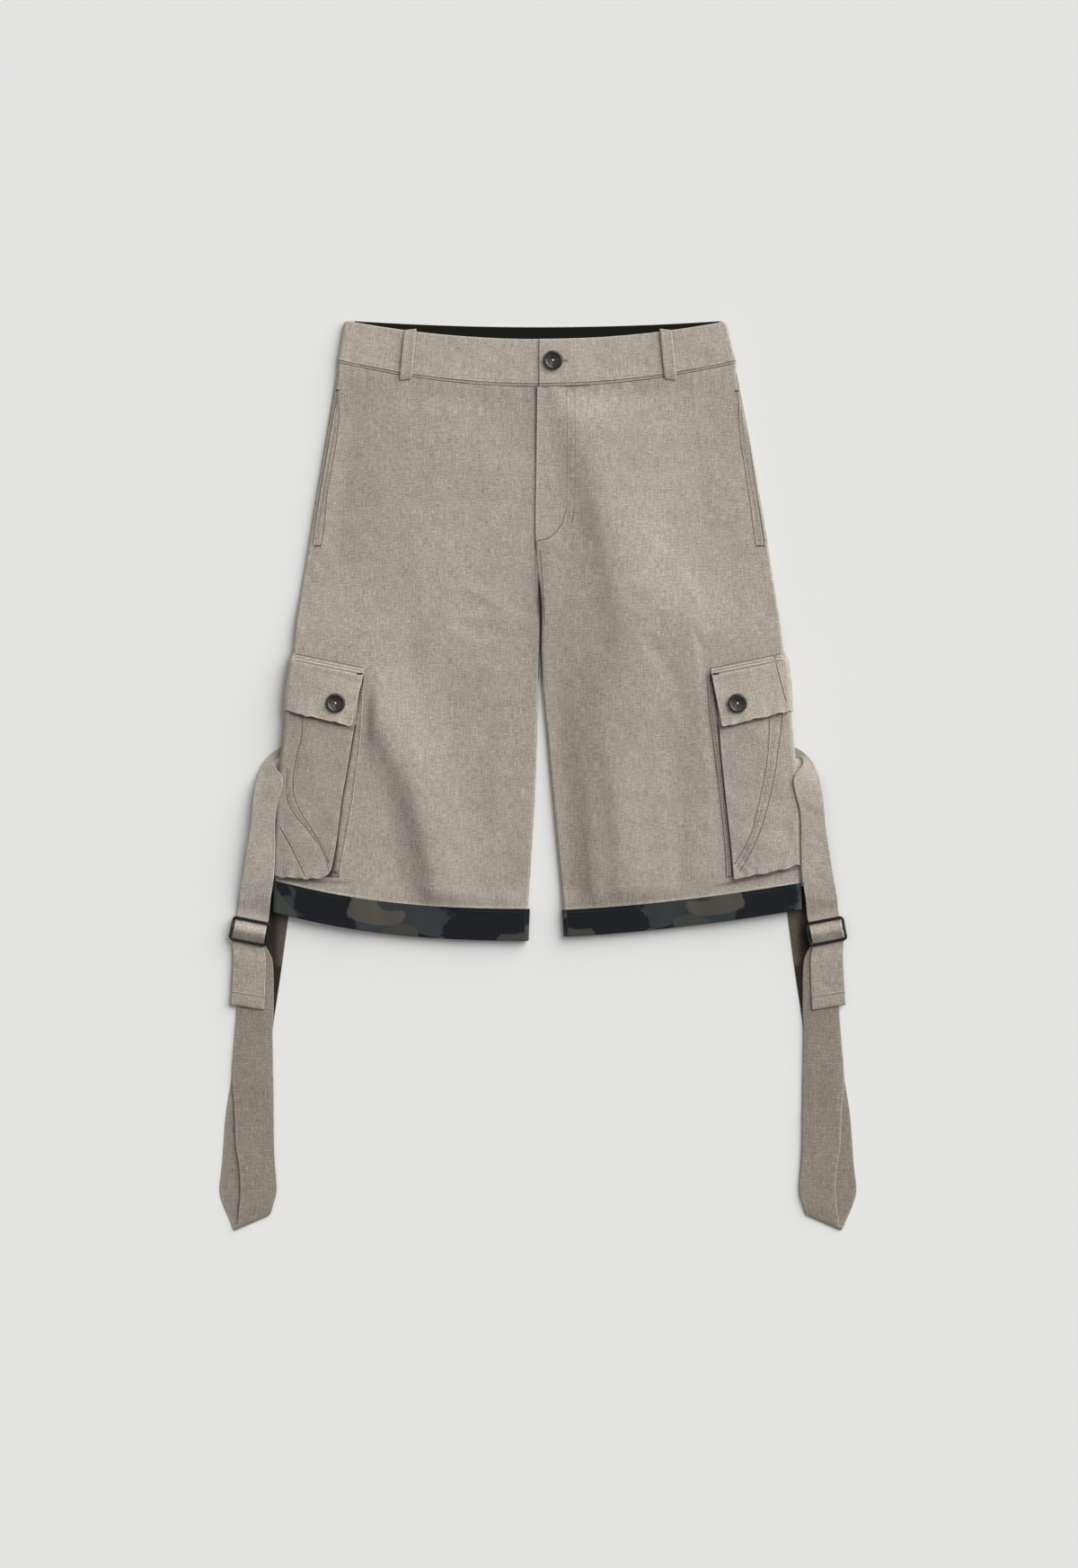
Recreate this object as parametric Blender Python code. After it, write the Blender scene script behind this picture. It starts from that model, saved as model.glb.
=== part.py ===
"""Cargo bermuda shorts with side straps, laid flat with the front up.

Millimetres are used throughout and turned into metres when a mesh is made. Each side is worked out in
(u, y, z): u runs outwards from the middle of the garment, y towards the waist and z up from the surface
that the shorts lie on. The wearer's right side has x = -u and the wearer's left side has x = +u.
"""
from collections import namedtuple

import bmesh
import bpy
import numpy as np

# ---------------------------------------------------------------- driving sizes
MM = 0.001
GAP = 0.3                 # clearance between two pieces of cloth
CLOTH = 1.2               # one layer of the shell cloth
BAND = 1.8                # waistband: cloth turned double
FLAP = 1.6                # pocket flap: cloth turned double
FACING = 1.0              # dark facing inside the back waistband
LEG_THICK = 5.2           # front and back of a leg with the air between them
HALF_LEG = LEG_THICK / 2

WAIST_FRONT_TOP = 422.4   # top edge of the waistband at the centre front
WAIST_BACK_TOP = 432.0    # the back stands higher
FRONT_SEAM = 376.5        # waistband seam at the centre front
BACK_SEAM = 389.0
WAIST_SIDE_TOP = 441.2    # all four curves meet at the side edge of the band
WAIST_SIDE_SEAM = 399.0
WAIST_LIFT = CLOTH + GAP  # the back belt loops lie under the back of the waistband
WAIST_RAMP = 30.0

CROTCH = 139.6            # where the two legs part
CROTCH_CURL = 65.0        # length over which the rise dips towards the crotch
FLY_END = 228.0
FLY_UNDERLAP = 8.0        # right front under the edge of the fly
FLY_BLEND = 35.0
BUTTON_TAB = 32.0         # right waistband under the left one
LEFT_TAB_BLEND = 28.0

POCKET_TOP = 124.0        # above this the side of the leg lies on the surface
BAG_BACK = 72.0           # how far a cargo pocket reaches round to the back
SIDE_LIFT = CLOTH + GAP + FLAP + GAP
SIDE_RAMP = 45.0
GUSSET_RISE = CLOTH + 2 * GAP
PUFF = 1.6                # the empty bag stands a little proud in its middle
STRAP_WALL = 1.2

RIGHT, LEFT = -1, 1
SIDE_NAME = {RIGHT: "right", LEFT: "left"}

LINEN = (0.37, 0.32, 0.27)
CAMO = (0.045, 0.05, 0.05)
DARK_GREEN = (0.013, 0.014, 0.011)
BLACK_METAL = (0.012, 0.013, 0.014)
HORN = (0.045, 0.036, 0.032)
ZIP = (0.12, 0.11, 0.10)

# ---------------------------------------------------------------- tables
# Outline of the legs: distance of the outer and inner edges from the middle at each height.
LegRow = namedtuple("LegRow", "y outer_right outer_left inner_right inner_left")
LEG = (
    LegRow(400.0, 194.0, 191.4, 0.8, -0.4),
    LegRow(316.0, 207.2, 207.1, 1.8, -1.4),
    LegRow(264.0, 215.6, 215.9, 2.6, -2.2),
    LegRow(229.0, 221.2, 221.9, 2.6, -2.2),
    LegRow(208.0, 224.6, 225.0, 0.9, -0.5),
    LegRow(181.0, 229.1, 229.2, -0.9, 1.3),
    LegRow(154.0, 233.6, 233.4, -2.2, 2.7),
    LegRow(125.0, 236.1, 237.0, -1.6, 2.4),
    LegRow(90.0, 241.2, 241.3, -0.8, 3.6),
    LegRow(46.0, 244.4, 243.6, 0.6, 8.0),
    LegRow(3.0, 248.6, 248.2, 1.8, 11.8),
    LegRow(-32.0, 251.2, 250.4, 3.5, 15.2),
    LegRow(-97.0, 254.3, 252.8, 7.6, 21.4),
    LegRow(-119.0, 254.8, 253.4, 9.1, 23.6),
    LegRow(-160.0, 255.4, 254.0, 10.6, 26.6),
)
# Heights of the rings of a leg at its inner edge. They bend up to the side at the waist and the hem.
RINGS = (376.5, 350.0, 312.0, 276.0, 246.0, 232.0, 222.0, 206.0, 186.0, 162.0, 139.0, 118.0, 84.0,
         44.0, 2.0, -44.0, -84.0, -104.0, -123.0)

Hem = namedtuple("Hem", "lowest rise power band")
HEM = {RIGHT: Hem(lowest=-159.5, rise=27.7, power=2.5, band=31.0),
       LEFT: Hem(lowest=-156.0, rise=27.0, power=1.6, band=26.0)}
HEM_SPAN = 255.0          # distance from the middle at which the hem has risen by its rise
HEM_BEND = 130.0          # length above the hem over which the rings bend with it
WAIST_BEND = 125.0
BAND_DROP = 1.5           # the hem band reaches this far below the cloth that it covers

# Folds of the fronts: soft ridges (+) and troughs (-) along a path down the leg, each with its own reach
# to the inner and to the outer side.
Fold = namedtuple("Fold", "side height inner outer path")
FOLDS = (
    Fold(RIGHT, 7.4, 36.0, 17.0, ((176.0, 104.0), (161.0, 66.0), (145.0, 38.0), (122.0, -13.0),
                                  (108.0, -54.0), (100.0, -95.0), (98.0, -200.0))),
    Fold(RIGHT, 1.8, 36.0, 36.0, ((96.0, 400.0), (104.0, 250.0), (112.0, 80.0))),
    Fold(LEFT, 5.4, 21.0, 62.0, ((30.0, 405.0), (44.0, 320.0), (62.0, 247.0), (82.0, 165.0), (88.0, 80.0))),
    Fold(LEFT, 3.4, 46.0, 46.0, ((60.0, 430.0), (98.0, 260.0), (126.0, 186.0), (146.0, 116.0))),
    Fold(LEFT, 6.6, 46.0, 66.0, ((58.0, 260.0), (66.0, 180.0), (73.0, 20.0), (78.0, -200.0))),
    Fold(LEFT, 2.4, 11.0, 26.0, ((70.0, 40.0), (78.0, -27.0), (83.0, -116.0), (84.0, -200.0))),
    Fold(LEFT, 1.0, 7.0, 12.0, ((46.0, 20.0), (52.0, -60.0), (56.0, -200.0))),
)
FOLD_EDGE = 34.0          # the folds die out towards the edges of a leg

# Cargo pocket on the front of the leg: the inner edges of its flap, its bag and its gusset.
Cargo = namedtuple("Cargo", "y flap bag gusset")
CARGO = {
    RIGHT: (Cargo(100.0, 168.0, 171.0, 168.2), Cargo(62.0, 177.3, 175.0, 169.7),
            Cargo(24.0, 184.0, 181.2, 172.2), Cargo(-25.0, 190.0, 189.8, 178.8),
            Cargo(-69.0, 194.0, 195.4, 186.6), Cargo(-100.0, 196.0, 201.4, 192.4)),
    LEFT: (Cargo(100.0, 167.0, 170.0, 163.2), Cargo(62.0, 174.8, 173.8, 165.7),
           Cargo(24.0, 182.0, 176.4, 170.6), Cargo(-25.0, 187.0, 181.5, 176.6),
           Cargo(-69.0, 191.0, 186.4, 181.2), Cargo(-100.0, 194.0, 189.0, 182.2)),
}
# Slanting edges of the pocket: height at the inner edge, and at the outer edge where it turns back.
Edge = namedtuple("Edge", "inner_u inner_y outer_u outer_y")
FLAP_TOP = Edge(166.0, 105.0, 237.0, 119.5)
FLAP_BOTTOM = Edge(181.0, 47.5, 247.0, 64.0)
BAG_TOP = Edge(170.0, 91.0, 240.0, 105.0)
BAG_BOTTOM = {RIGHT: Edge(201.0, -100.0, 256.0, -97.5), LEFT: Edge(189.0, -100.5, 255.0, -86.0)}

# Straps: one row for each section, from its outer edge to its inner edge, with the height of each.
Strap = namedtuple("Strap", "outer_u outer_y outer_z inner_u inner_y inner_z")
UPPER_STRAP = (
    Strap(234.0, 29.0, 0.0, 234.0, 13.0, 0.0),
    Strap(248.0, 28.0, 0.0, 247.0, 17.0, 0.0),
    Strap(257.5, 22.5, 0.6, 253.8, 18.0, 0.6),
    Strap(265.6, 12.6, 1.4, 256.4, 13.5, 4.0),
    Strap(269.4, 4.5, 2.6, 254.4, 9.0, 9.0),
    Strap(272.6, -5.0, 5.6, 246.4, -2.5, 11.0),
    Strap(275.2, -20.0, 8.0, 248.6, -18.0, 11.4),
    Strap(276.5, -34.0, 9.0, 252.6, -33.0, 11.4),
    Strap(278.0, -50.0, 9.2, 254.0, -48.0, 11.3),
    Strap(281.6, -72.0, 9.0, 253.8, -70.0, 11.2),
    Strap(285.2, -96.0, 8.0, 255.2, -98.0, 10.6),
    Strap(289.0, -116.0, 5.8, 258.4, -119.0, 7.8),
)
STRAP_END = (
    Strap(295.0, -173.0, 3.7, 263.4, -177.5, 3.7),
    Strap(295.8, -192.0, 3.4, 263.8, -197.0, 3.4),
    Strap(297.5, -221.5, 3.3, 265.0, -226.5, 3.3),
)
LOWER_FRONT = (
    Strap(293.4, -167.5, 3.2, 260.0, -171.0, 3.2),
    Strap(291.8, -182.0, 3.0, 256.4, -184.0, 3.0),
    Strap(291.7, -226.0, 2.9, 256.0, -227.0, 2.9),
    Strap(293.0, -247.0, 2.9, 257.0, -247.0, 2.9),
    Strap(296.4, -293.0, 2.9, 256.2, -293.0, 2.9),
    Strap(294.0, -325.0, 2.9, 255.8, -325.0, 2.9),
    Strap(292.6, -359.0, 2.9, 255.4, -359.0, 2.9),
    Strap(289.6, -378.0, 2.9, 254.4, -378.0, 2.9),
    Strap(288.4, -403.0, 2.9, 252.8, -400.0, 2.9),
    Strap(290.4, -425.0, 2.9, 256.0, -414.0, 2.9),
)
STRAP_FOLD = Strap(292.8, -440.8, 1.45, 260.5, -426.4, 1.45)
LOWER_BACK = (
    Strap(299.0, -429.0, 0.0, 266.0, -418.0, 0.0),
    Strap(305.0, -415.0, 0.0, 271.0, -410.0, 0.0),
    Strap(308.4, -400.5, 0.0, 274.0, -398.0, 0.0),
    Strap(305.8, -375.0, 0.0, 271.6, -375.0, 0.0),
    Strap(302.2, -328.0, 0.0, 268.0, -328.0, 0.0),
    Strap(296.7, -292.0, 0.0, 262.4, -292.0, 0.0),
    Strap(290.4, -241.0, 0.0, 256.4, -241.0, 0.0),
    Strap(283.0, -189.0, 0.0, 248.8, -189.0, 0.0),
    Strap(276.6, -140.0, 0.0, 241.8, -136.0, 0.0),
    Strap(273.0, -108.0, 0.0, 239.0, -106.0, 0.0),
)

# Slide buckle: a frame of round wire with a middle bar.
BUCKLE_U, BUCKLE_Y, BUCKLE_Z = 278.8, -150.2, 6.8
BUCKLE_WIDTH, BUCKLE_HEIGHT = 38.0, 24.2
BUCKLE_TILT = np.radians(11.0)
WIRE = 1.45               # radius of the wire
BUCKLE_CORNER = 2.8
STRAP_IN_BUCKLE = 31.0

LOOP_WIDTH, LOOP_WALL, LOOP_ARCH = 12.0, 1.4, 1.0
FRONT_LOOP = Edge(123.5, 431.5, 128.2, 383.0)     # middle of its upper and lower ends
BACK_LOOP_U = 108.0
BUTTON_RADIUS, BUTTON_THICK = 9.4, 3.2
WAIST_BUTTON = (14.4, 401.5)
POCKET_BUTTON = {RIGHT: (195.4, 70.2), LEFT: (192.4, 70.0)}


# ---------------------------------------------------------------- small helpers
def smooth(x):
    """0 below 0, 1 above 1, and an S-shaped curve between."""
    x = np.clip(x, 0.0, 1.0)
    return x * x * (3.0 - 2.0 * x)


def column(rows, name, y):
    """Value of a table's column at height y, straight between its rows."""
    rows = sorted(rows, key=lambda row: row.y)
    return np.interp(y, [row.y for row in rows], [getattr(row, name) for row in rows])


def on_edge(edge, u):
    """Height of a slanting edge at u."""
    share = (u - edge.inner_u) / (edge.outer_u - edge.inner_u)
    return edge.inner_y + (edge.outer_y - edge.inner_y) * share


def outer_edge(side, y):
    return column(LEG, "outer_" + SIDE_NAME[side], y)


def inner_edge(side, y):
    return column(LEG, "inner_" + SIDE_NAME[side], y)


def waist_curve(centre, at_side, u, reach=190.0):
    """A waist line that is lowest in the middle and rises to the side."""
    return centre + (at_side - centre) * (u / reach) ** 2


def hem_line(side, u):
    """Height of the lower edge of the hem band."""
    hem = HEM[side]
    return hem.lowest + hem.rise * np.clip(u / HEM_SPAN, 0.0, 1.1) ** hem.power


def ring_height(side, ring, u, seam):
    """Height at u of the ring that lies at height `ring` on the front, next to its inner edge."""
    at_waist = smooth((ring - FRONT_SEAM + WAIST_BEND) / WAIST_BEND)
    at_hem = smooth((HEM[side].lowest + HEM_BEND - ring) / HEM_BEND)
    waist = waist_curve(seam, WAIST_SIDE_SEAM, u) - FRONT_SEAM - GAP
    hem = hem_line(side, u) - HEM[side].lowest
    return ring + waist * at_waist + hem * at_hem


# ---------------------------------------------------------------- how high the layers lie
def back_lift(side, u, y):
    """Height of the underside of the back: it lies on whatever passes beneath it."""
    seam = waist_curve(BACK_SEAM, WAIST_SIDE_SEAM, u)
    waist = WAIST_LIFT * smooth((y - seam + WAIST_RAMP + 6.0) / WAIST_RAMP)
    inwards = outer_edge(side, y) - BAG_BACK - 4.0 - u
    pocket = SIDE_LIFT * smooth(1.0 - inwards / SIDE_RAMP) * smooth((POCKET_TOP + 62.0 - y) / 60.0)
    band_top = hem_line(side, u) + HEM[side].band
    hem = (CLOTH + GAP) * smooth((band_top + 22.0 - y) / 16.0)
    return np.maximum(np.maximum(waist, pocket), hem)


def beside(u, y, path):
    """Distance of points from a path, positive on its outer side, and how far along it the nearest is."""
    path = np.asarray(path)
    start, step = path[:-1], np.diff(path, axis=0)
    length = np.hypot(*step.T)
    away_u, away_y = u[..., None] - start[:, 0], y[..., None] - start[:, 1]
    share = np.clip((away_u * step[:, 0] + away_y * step[:, 1]) / length ** 2, 0.0, 1.0)
    distance = np.hypot(away_u - share * step[:, 0], away_y - share * step[:, 1])
    outside = np.sign(step[:, 0] * away_y - step[:, 1] * away_u)
    run = (np.cumsum(length) - length + share * length) / length.sum()
    nearest = distance.argmin(axis=-1)[..., None]
    off, run = (np.take_along_axis(values, nearest, -1)[..., 0] for values in (distance * outside, run))
    return off, run


def fold_height(side, u, y):
    """Folds of the front, each a bell across its path that fades in and out along it."""
    u, y = np.broadcast_arrays(np.asarray(u, dtype=float), np.asarray(y, dtype=float))
    total = np.zeros(u.shape)
    for fold in FOLDS:
        if fold.side == side:
            off, run = beside(u, y, fold.path)
            width = np.where(off > 0.0, fold.outer, fold.inner)
            total = total + fold.height * smooth(run / 0.25) * smooth((1.0 - run) / 0.25) * np.exp(
                -(off / width) ** 2)
    to_edge = np.minimum(outer_edge(side, y) - u, u - inner_edge(side, y))
    off_pocket = smooth(np.maximum((outer_edge(side, y) - 77.0 - u) / 10.0, (y - 120.0) / 24.0))
    off_hem = smooth((y - hem_line(side, u) - HEM[side].band - 8.0) / 24.0)
    off_waist = smooth((waist_curve(FRONT_SEAM, WAIST_SIDE_SEAM, u) - 3.0 - y) / 30.0)
    return total * smooth(to_edge / FOLD_EDGE) * off_pocket * off_hem * off_waist


def front_top(side, u, y):
    """Height of the outer face of the front."""
    top = back_lift(side, u, y) + LEG_THICK + fold_height(side, u, y)
    if side == LEFT:
        over_fly = smooth((y - 208.0) / 20.0) * (1.0 - smooth((u - FLY_UNDERLAP - 3.0) / FLY_BLEND))
        top = top + (CLOTH + GAP) * over_fly
    return top


# ---------------------------------------------------------------- outlines across the garment
ARC = 3                   # steps in a quarter turn of a piece that wraps the side
PANEL_ARC = 2             # steps in a quarter turn of a front or back


def curl(y):
    """How far the inner edge turns down: not at all at the fly, fully from the crotch down."""
    return smooth((CROTCH + CROTCH_CURL - y) / CROTCH_CURL)


def flat_columns(u_in, u_out, front):
    """Columns across the flat of a leg, closest together where the side rises over the pocket."""
    middle = np.linspace(u_in + HALF_LEG, u_out - BAG_BACK - SIDE_RAMP - 4.0, 8 if front else 5)
    ramp = u_out - BAG_BACK - np.array([17.0, 4.5])
    side = u_out - np.array([46.0, 22.0, HALF_LEG])
    return np.concatenate([middle, ramp, side])


def panel_line(side, ring, depth, front):
    """A front or back at one ring, from its inner to its outer edge, `depth` inside its outer face.

    The edges are quarter circles that end halfway up the thickness of the leg, a small gap from the
    other panel. Above the crotch the inner one opens out until it is flat.
    """
    seam = FRONT_SEAM if front else BACK_SEAM
    u_out = outer_edge(side, ring_height(side, ring, 240.0, seam))
    u_in = inner_edge(side, ring_height(side, ring, 5.0, seam))
    if front and side == RIGHT:
        u_in = u_in - (FLY_UNDERLAP + u_in) * smooth((ring - FLY_END - 4.0) / 12.0)
    turn = curl(ring_height(side, ring, 5.0, seam))
    angle = np.linspace(0.0, np.pi / 2, PANEL_ARC + 1)
    reach_in = HALF_LEG - depth * turn
    drop_in = turn * (HALF_LEG - GAP / 2 - depth) * (1.0 - np.sin(angle))
    u_inner = u_in + depth * turn + reach_in * (1.0 - np.cos(angle))
    reach_out = HALF_LEG - depth
    u_outer = u_out - depth - reach_out * (1.0 - np.sin(angle))
    drop_out = (HALF_LEG - GAP / 2 - depth) * (1.0 - np.cos(angle))
    u_flat = flat_columns(u_in, u_out, front)[1:-1]
    u = np.concatenate([u_inner, u_flat, u_outer])
    drop = np.concatenate([drop_in, np.zeros(len(u_flat)), drop_out])
    y = ring_height(side, ring, u, seam)
    if front:
        z = front_top(side, u, y) - depth - drop
    else:
        z = back_lift(side, u, y) + depth + drop
    return np.stack([u, y, z], axis=1)


def puff(side, u, y):
    """How much the empty cargo bag stands proud between its inner edge and the side of the leg."""
    start = column(CARGO[side], "bag", y)
    share = (u - start) / (outer_edge(side, y) - HALF_LEG - start)
    return PUFF * np.sin(np.pi * np.clip(share, 0.0, 1.0))


def wrap_line(side, y_of_u, u_front, u_back, out, steps):
    """A piece that turns round the side of the leg, from u_front on top to u_back underneath.

    `out` says how far its face stands off the front, the side and the back of the leg.
    """
    on_top, at_side, below = out
    u_edge = outer_edge(side, y_of_u(245.0))
    y_edge = y_of_u(u_edge)
    top = front_top(side, u_edge - HALF_LEG, y_edge) + on_top
    bottom = back_lift(side, u_edge - HALF_LEG, y_edge) - below
    radius = (top - bottom) / 2
    centre = u_edge + at_side - radius
    angle = np.linspace(np.pi / 2, -np.pi / 2, 2 * ARC + 1)
    u_top = np.linspace(u_front, centre, steps + 1)[:-1]
    u_low = np.linspace(centre, u_back, steps + 1)[1:]
    u = np.concatenate([u_top, centre + radius * np.cos(angle), u_low])
    y = y_of_u(np.minimum(u, u_edge))
    z = np.concatenate([front_top(side, u_top, y[:steps]) + puff(side, u_top, y[:steps]) + on_top,
                        (top + bottom) / 2 + radius * np.sin(angle),
                        back_lift(side, u_low, y[-steps:]) - below])
    return np.stack([u, y, z], axis=1)


def band_line(side, above_hem, out):
    """A closed ring round the leg, `out` away from the cloth, at a height above the hem line."""
    def height(u):
        return hem_line(side, u) + above_hem

    u_out = outer_edge(side, height(HEM_SPAN))
    u_in = inner_edge(side, height(15.0))
    radius = HALF_LEG + out
    quarter = np.linspace(0.0, np.pi, 2 * ARC + 1)
    u_flat = flat_columns(u_in, u_out, True)[1:-1]
    u_flat_low = flat_columns(u_in, u_out, False)[1:-1]
    u_turn_out = u_out - HALF_LEG + radius * np.sin(quarter)
    u_turn_in = u_in + HALF_LEG - radius * np.sin(quarter)

    def middle(u):
        y = height(u)
        return (front_top(side, u, y) + back_lift(side, u, y)) / 2

    z_out = middle(u_out - HALF_LEG) + radius * np.cos(quarter)
    z_in = middle(u_in + HALF_LEG) - radius * np.cos(quarter)
    z_top = front_top(side, u_flat, height(u_flat)) + out
    z_low = back_lift(side, u_flat_low, height(u_flat_low)) - out
    u = np.concatenate([u_flat, u_turn_out, u_flat_low[::-1], u_turn_in])
    z = np.concatenate([z_top, z_out, z_low[::-1], z_in])
    return np.stack([u, height(u), z], axis=1)


WAIST_TOP_U = {RIGHT: 187.5, LEFT: 181.8}
BAND_START = {RIGHT: -BUTTON_TAB, LEFT: 0.9}      # front ends of the two halves of the waistband


def waist_line(side, share, depth):
    """The waistband at `share` of its height: from the centre front round the side to the centre back."""
    u_edge = outer_edge(side, WAIST_SIDE_SEAM) * (1.0 - share) + WAIST_TOP_U[side] * share
    centre = u_edge - HALF_LEG
    angle = np.linspace(np.pi / 2, -np.pi / 2, 2 * ARC + 1)
    near = BAND_START[side] + np.array([0.0, 12.0, 24.0, 35.0, 42.0, 49.0, 56.0, 64.0])
    u_top = np.concatenate([near, np.linspace(84.0, centre, 6)[:-1]])
    u_low = np.linspace(centre, 0.2, 9)[1:]
    u = np.concatenate([u_top, centre + (HALF_LEG - depth) * np.cos(angle), u_low])
    to_back = np.concatenate([np.zeros(len(u_top)), np.linspace(0.0, 1.0, len(angle)), np.ones(len(u_low))])
    y_front = (waist_curve(FRONT_SEAM, WAIST_SIDE_SEAM, u) * (1.0 - share)
               + waist_curve(WAIST_FRONT_TOP, WAIST_SIDE_TOP, u) * share)
    y_back = (waist_curve(BACK_SEAM, WAIST_SIDE_SEAM, u) * (1.0 - share)
              + waist_curve(WAIST_BACK_TOP, WAIST_SIDE_TOP, u) * share)
    middle = WAIST_LIFT + HALF_LEG
    over_tab = 0.0
    if side == LEFT:
        over_tab = (BAND + GAP) * (1.0 - smooth((u_top - BUTTON_TAB - 2.0) / LEFT_TAB_BLEND))
    z = np.concatenate([middle + HALF_LEG - depth + over_tab * np.ones(len(u_top)),
                        middle + (HALF_LEG - depth) * np.sin(angle),
                        np.full(len(u_low), middle - HALF_LEG + depth)])
    return np.stack([u, y_front * (1.0 - to_back) + y_back * to_back, z], axis=1)


# ---------------------------------------------------------------- making solids
def material(name, colour, roughness, metallic=0.0):
    made = bpy.data.materials.get(name) or bpy.data.materials.new(name)
    made.use_nodes = True
    shader = made.node_tree.nodes["Principled BSDF"]
    shader.inputs["Base Color"].default_value = (*colour, 1.0)
    shader.inputs["Roughness"].default_value = roughness
    shader.inputs["Metallic"].default_value = metallic
    return made


def add_object(name, points, faces, side, look):
    """A mesh object from points in (u, y, z) millimetres, its faces turned outwards."""
    points = np.asarray(points, dtype=float) * (side, 1.0, 1.0)
    mesh = bpy.data.meshes.new(name)
    mesh.from_pydata((points * MM).tolist(), [], faces)
    solid = bmesh.new()
    solid.from_mesh(mesh)
    bmesh.ops.triangulate(solid, faces=solid.faces)
    bmesh.ops.recalc_face_normals(solid, faces=solid.faces)
    solid.to_mesh(mesh)
    solid.free()
    mesh.shade_smooth()
    mesh.set_sharp_from_angle(angle=np.radians(40.0))
    mesh.materials.append(material(*look))
    made = bpy.data.objects.new(name, mesh)
    bpy.context.scene.collection.objects.link(made)
    return made


LINEN_LOOK = ("linen", LINEN, 0.9)


def cloth(name, outer, inner, side, look=LINEN_LOOK, ring=False):
    """A wall of cloth between two grids of points, closed along its edges; a ring joins its columns."""
    outer = np.array(outer)
    inner = np.array(inner)
    rows, cols = outer.shape[:2]
    index = np.arange(rows * cols).reshape(rows, cols)
    far = index + rows * cols
    steps = range(cols if ring else cols - 1)
    faces = []
    for i in range(rows - 1):
        for j in steps:
            k = (j + 1) % cols
            faces.append((index[i, j], index[i, k], index[i + 1, k], index[i + 1, j]))
            faces.append((far[i, j], far[i + 1, j], far[i + 1, k], far[i, k]))
    for i in (0, rows - 1):
        for j in steps:
            k = (j + 1) % cols
            faces.append((index[i, j], far[i, j], far[i, k], index[i, k]))
    if not ring:
        for j in (0, cols - 1):
            for i in range(rows - 1):
                faces.append((index[i, j], index[i + 1, j], far[i + 1, j], far[i, j]))
    points = np.concatenate([outer.reshape(-1, 3), inner.reshape(-1, 3)])
    return add_object(name, points, [tuple(int(n) for n in face) for face in faces], side, look)


def moved_out(grid, distance):
    """A grid of points moved along its own normals."""
    along = np.gradient(grid, axis=0)
    across = np.gradient(grid, axis=1)
    normal = np.cross(along, across)
    normal /= np.linalg.norm(normal, axis=2, keepdims=True)
    return grid + normal * distance


# ---------------------------------------------------------------- legs
def leg_panels(side):
    rings = RINGS + (HEM[side].lowest + BAND_DROP,)
    for front, name in ((True, "front_"), (False, "back_")):
        outer = [panel_line(side, ring, 0.0, front) for ring in rings]
        inner = [panel_line(side, ring, CLOTH, front) for ring in rings]
        cloth(name + SIDE_NAME[side], outer, inner, side)


def hem_band(side):
    heights = (0.0, HEM[side].band)
    outer = [band_line(side, height, GAP + CLOTH) for height in heights]
    inner = [band_line(side, height, GAP) for height in heights]
    cloth("hem_band_" + SIDE_NAME[side], outer, inner, side, ("camouflage", CAMO, 0.8), ring=True)


# ---------------------------------------------------------------- waist and fly
def waistband(side):
    outer = [waist_line(side, share, 0.0) for share in (0.0, 1.0)]
    inner = [waist_line(side, share, BAND) for share in (0.0, 1.0)]
    cloth("waistband_" + SIDE_NAME[side], outer, inner, side)


def waistband_facing():
    """The dark facing lies on the inner face of the back waistband, just short of its upper edge."""
    u = np.linspace(-WAIST_TOP_U[LEFT] + 4.0, WAIST_TOP_U[LEFT] - 4.0, 15)
    low = WAIST_LIFT + BAND + GAP
    upper = np.stack([u, waist_curve(WAIST_BACK_TOP, WAIST_SIDE_TOP, u) - 1.2, np.full(15, low)], axis=1)
    lower = np.stack([u, waist_curve(BACK_SEAM, WAIST_SIDE_SEAM, u) + 2.0, np.full(15, low)], axis=1)
    bottom = np.array([upper, lower])
    cloth("waistband_facing", bottom, bottom + (0, 0, FACING), LEFT, ("facing", DARK_GREEN, 0.85))


FLY_LAYERS = (            # name, from x, to x, height above the underside of the back, wall, look
    ("fly_shield", -FLY_UNDERLAP, 38.0, CLOTH + GAP, 0.8, LINEN_LOOK),
    ("fly_zip", -6.0, 24.0, CLOTH + GAP + 0.8 + GAP, 1.0, ("zip", ZIP, 0.6)),
)


def fly_layers():
    """The fly shield and the closed zip lie between the back and the overlapping fronts."""
    heights = np.array([372.0, 350.0, 318.0, 286.0, 262.0, 246.0, FLY_END + 5.0])
    for name, x_from, x_to, above, wall, look in FLY_LAYERS:
        x, y = np.meshgrid(np.linspace(x_from, x_to, 3), heights)
        bottom = np.stack([x, y, back_lift(LEFT, x, y) + above], axis=2)
        cloth(name, bottom, bottom + (0, 0, wall), LEFT, look)


# ---------------------------------------------------------------- side pockets
SidePocket = namedtuple("SidePocket", "share reach")
SIDE_POCKET = (SidePocket(0.0, 116.0), SidePocket(0.35, 118.0), SidePocket(0.7, 112.0),
               SidePocket(0.9, 92.0), SidePocket(1.0, 58.0))
SIDE_POCKET_BOTTOM = 176.0
SIDE_POCKET_WALL = 1.4    # the two layers of the bag lie on each other


def side_pocket(side):
    """The bag of the pocket in the side seam hangs between the front and the back."""
    bottom = []
    for row in SIDE_POCKET:
        edge = outer_edge(side, 395.0 * (1.0 - row.share) + SIDE_POCKET_BOTTOM * row.share)
        u = np.linspace(edge - row.reach, edge - 4.5, 6)
        top = waist_curve(FRONT_SEAM, WAIST_SIDE_SEAM, u) - 4.0
        y = top * (1.0 - row.share) + SIDE_POCKET_BOTTOM * row.share
        bottom.append(np.stack([u, y, back_lift(side, u, y) + CLOTH + GAP], axis=1))
    bottom = np.array(bottom)
    cloth("side_pocket_" + SIDE_NAME[side], bottom, bottom + (0, 0, SIDE_POCKET_WALL), side)


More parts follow.
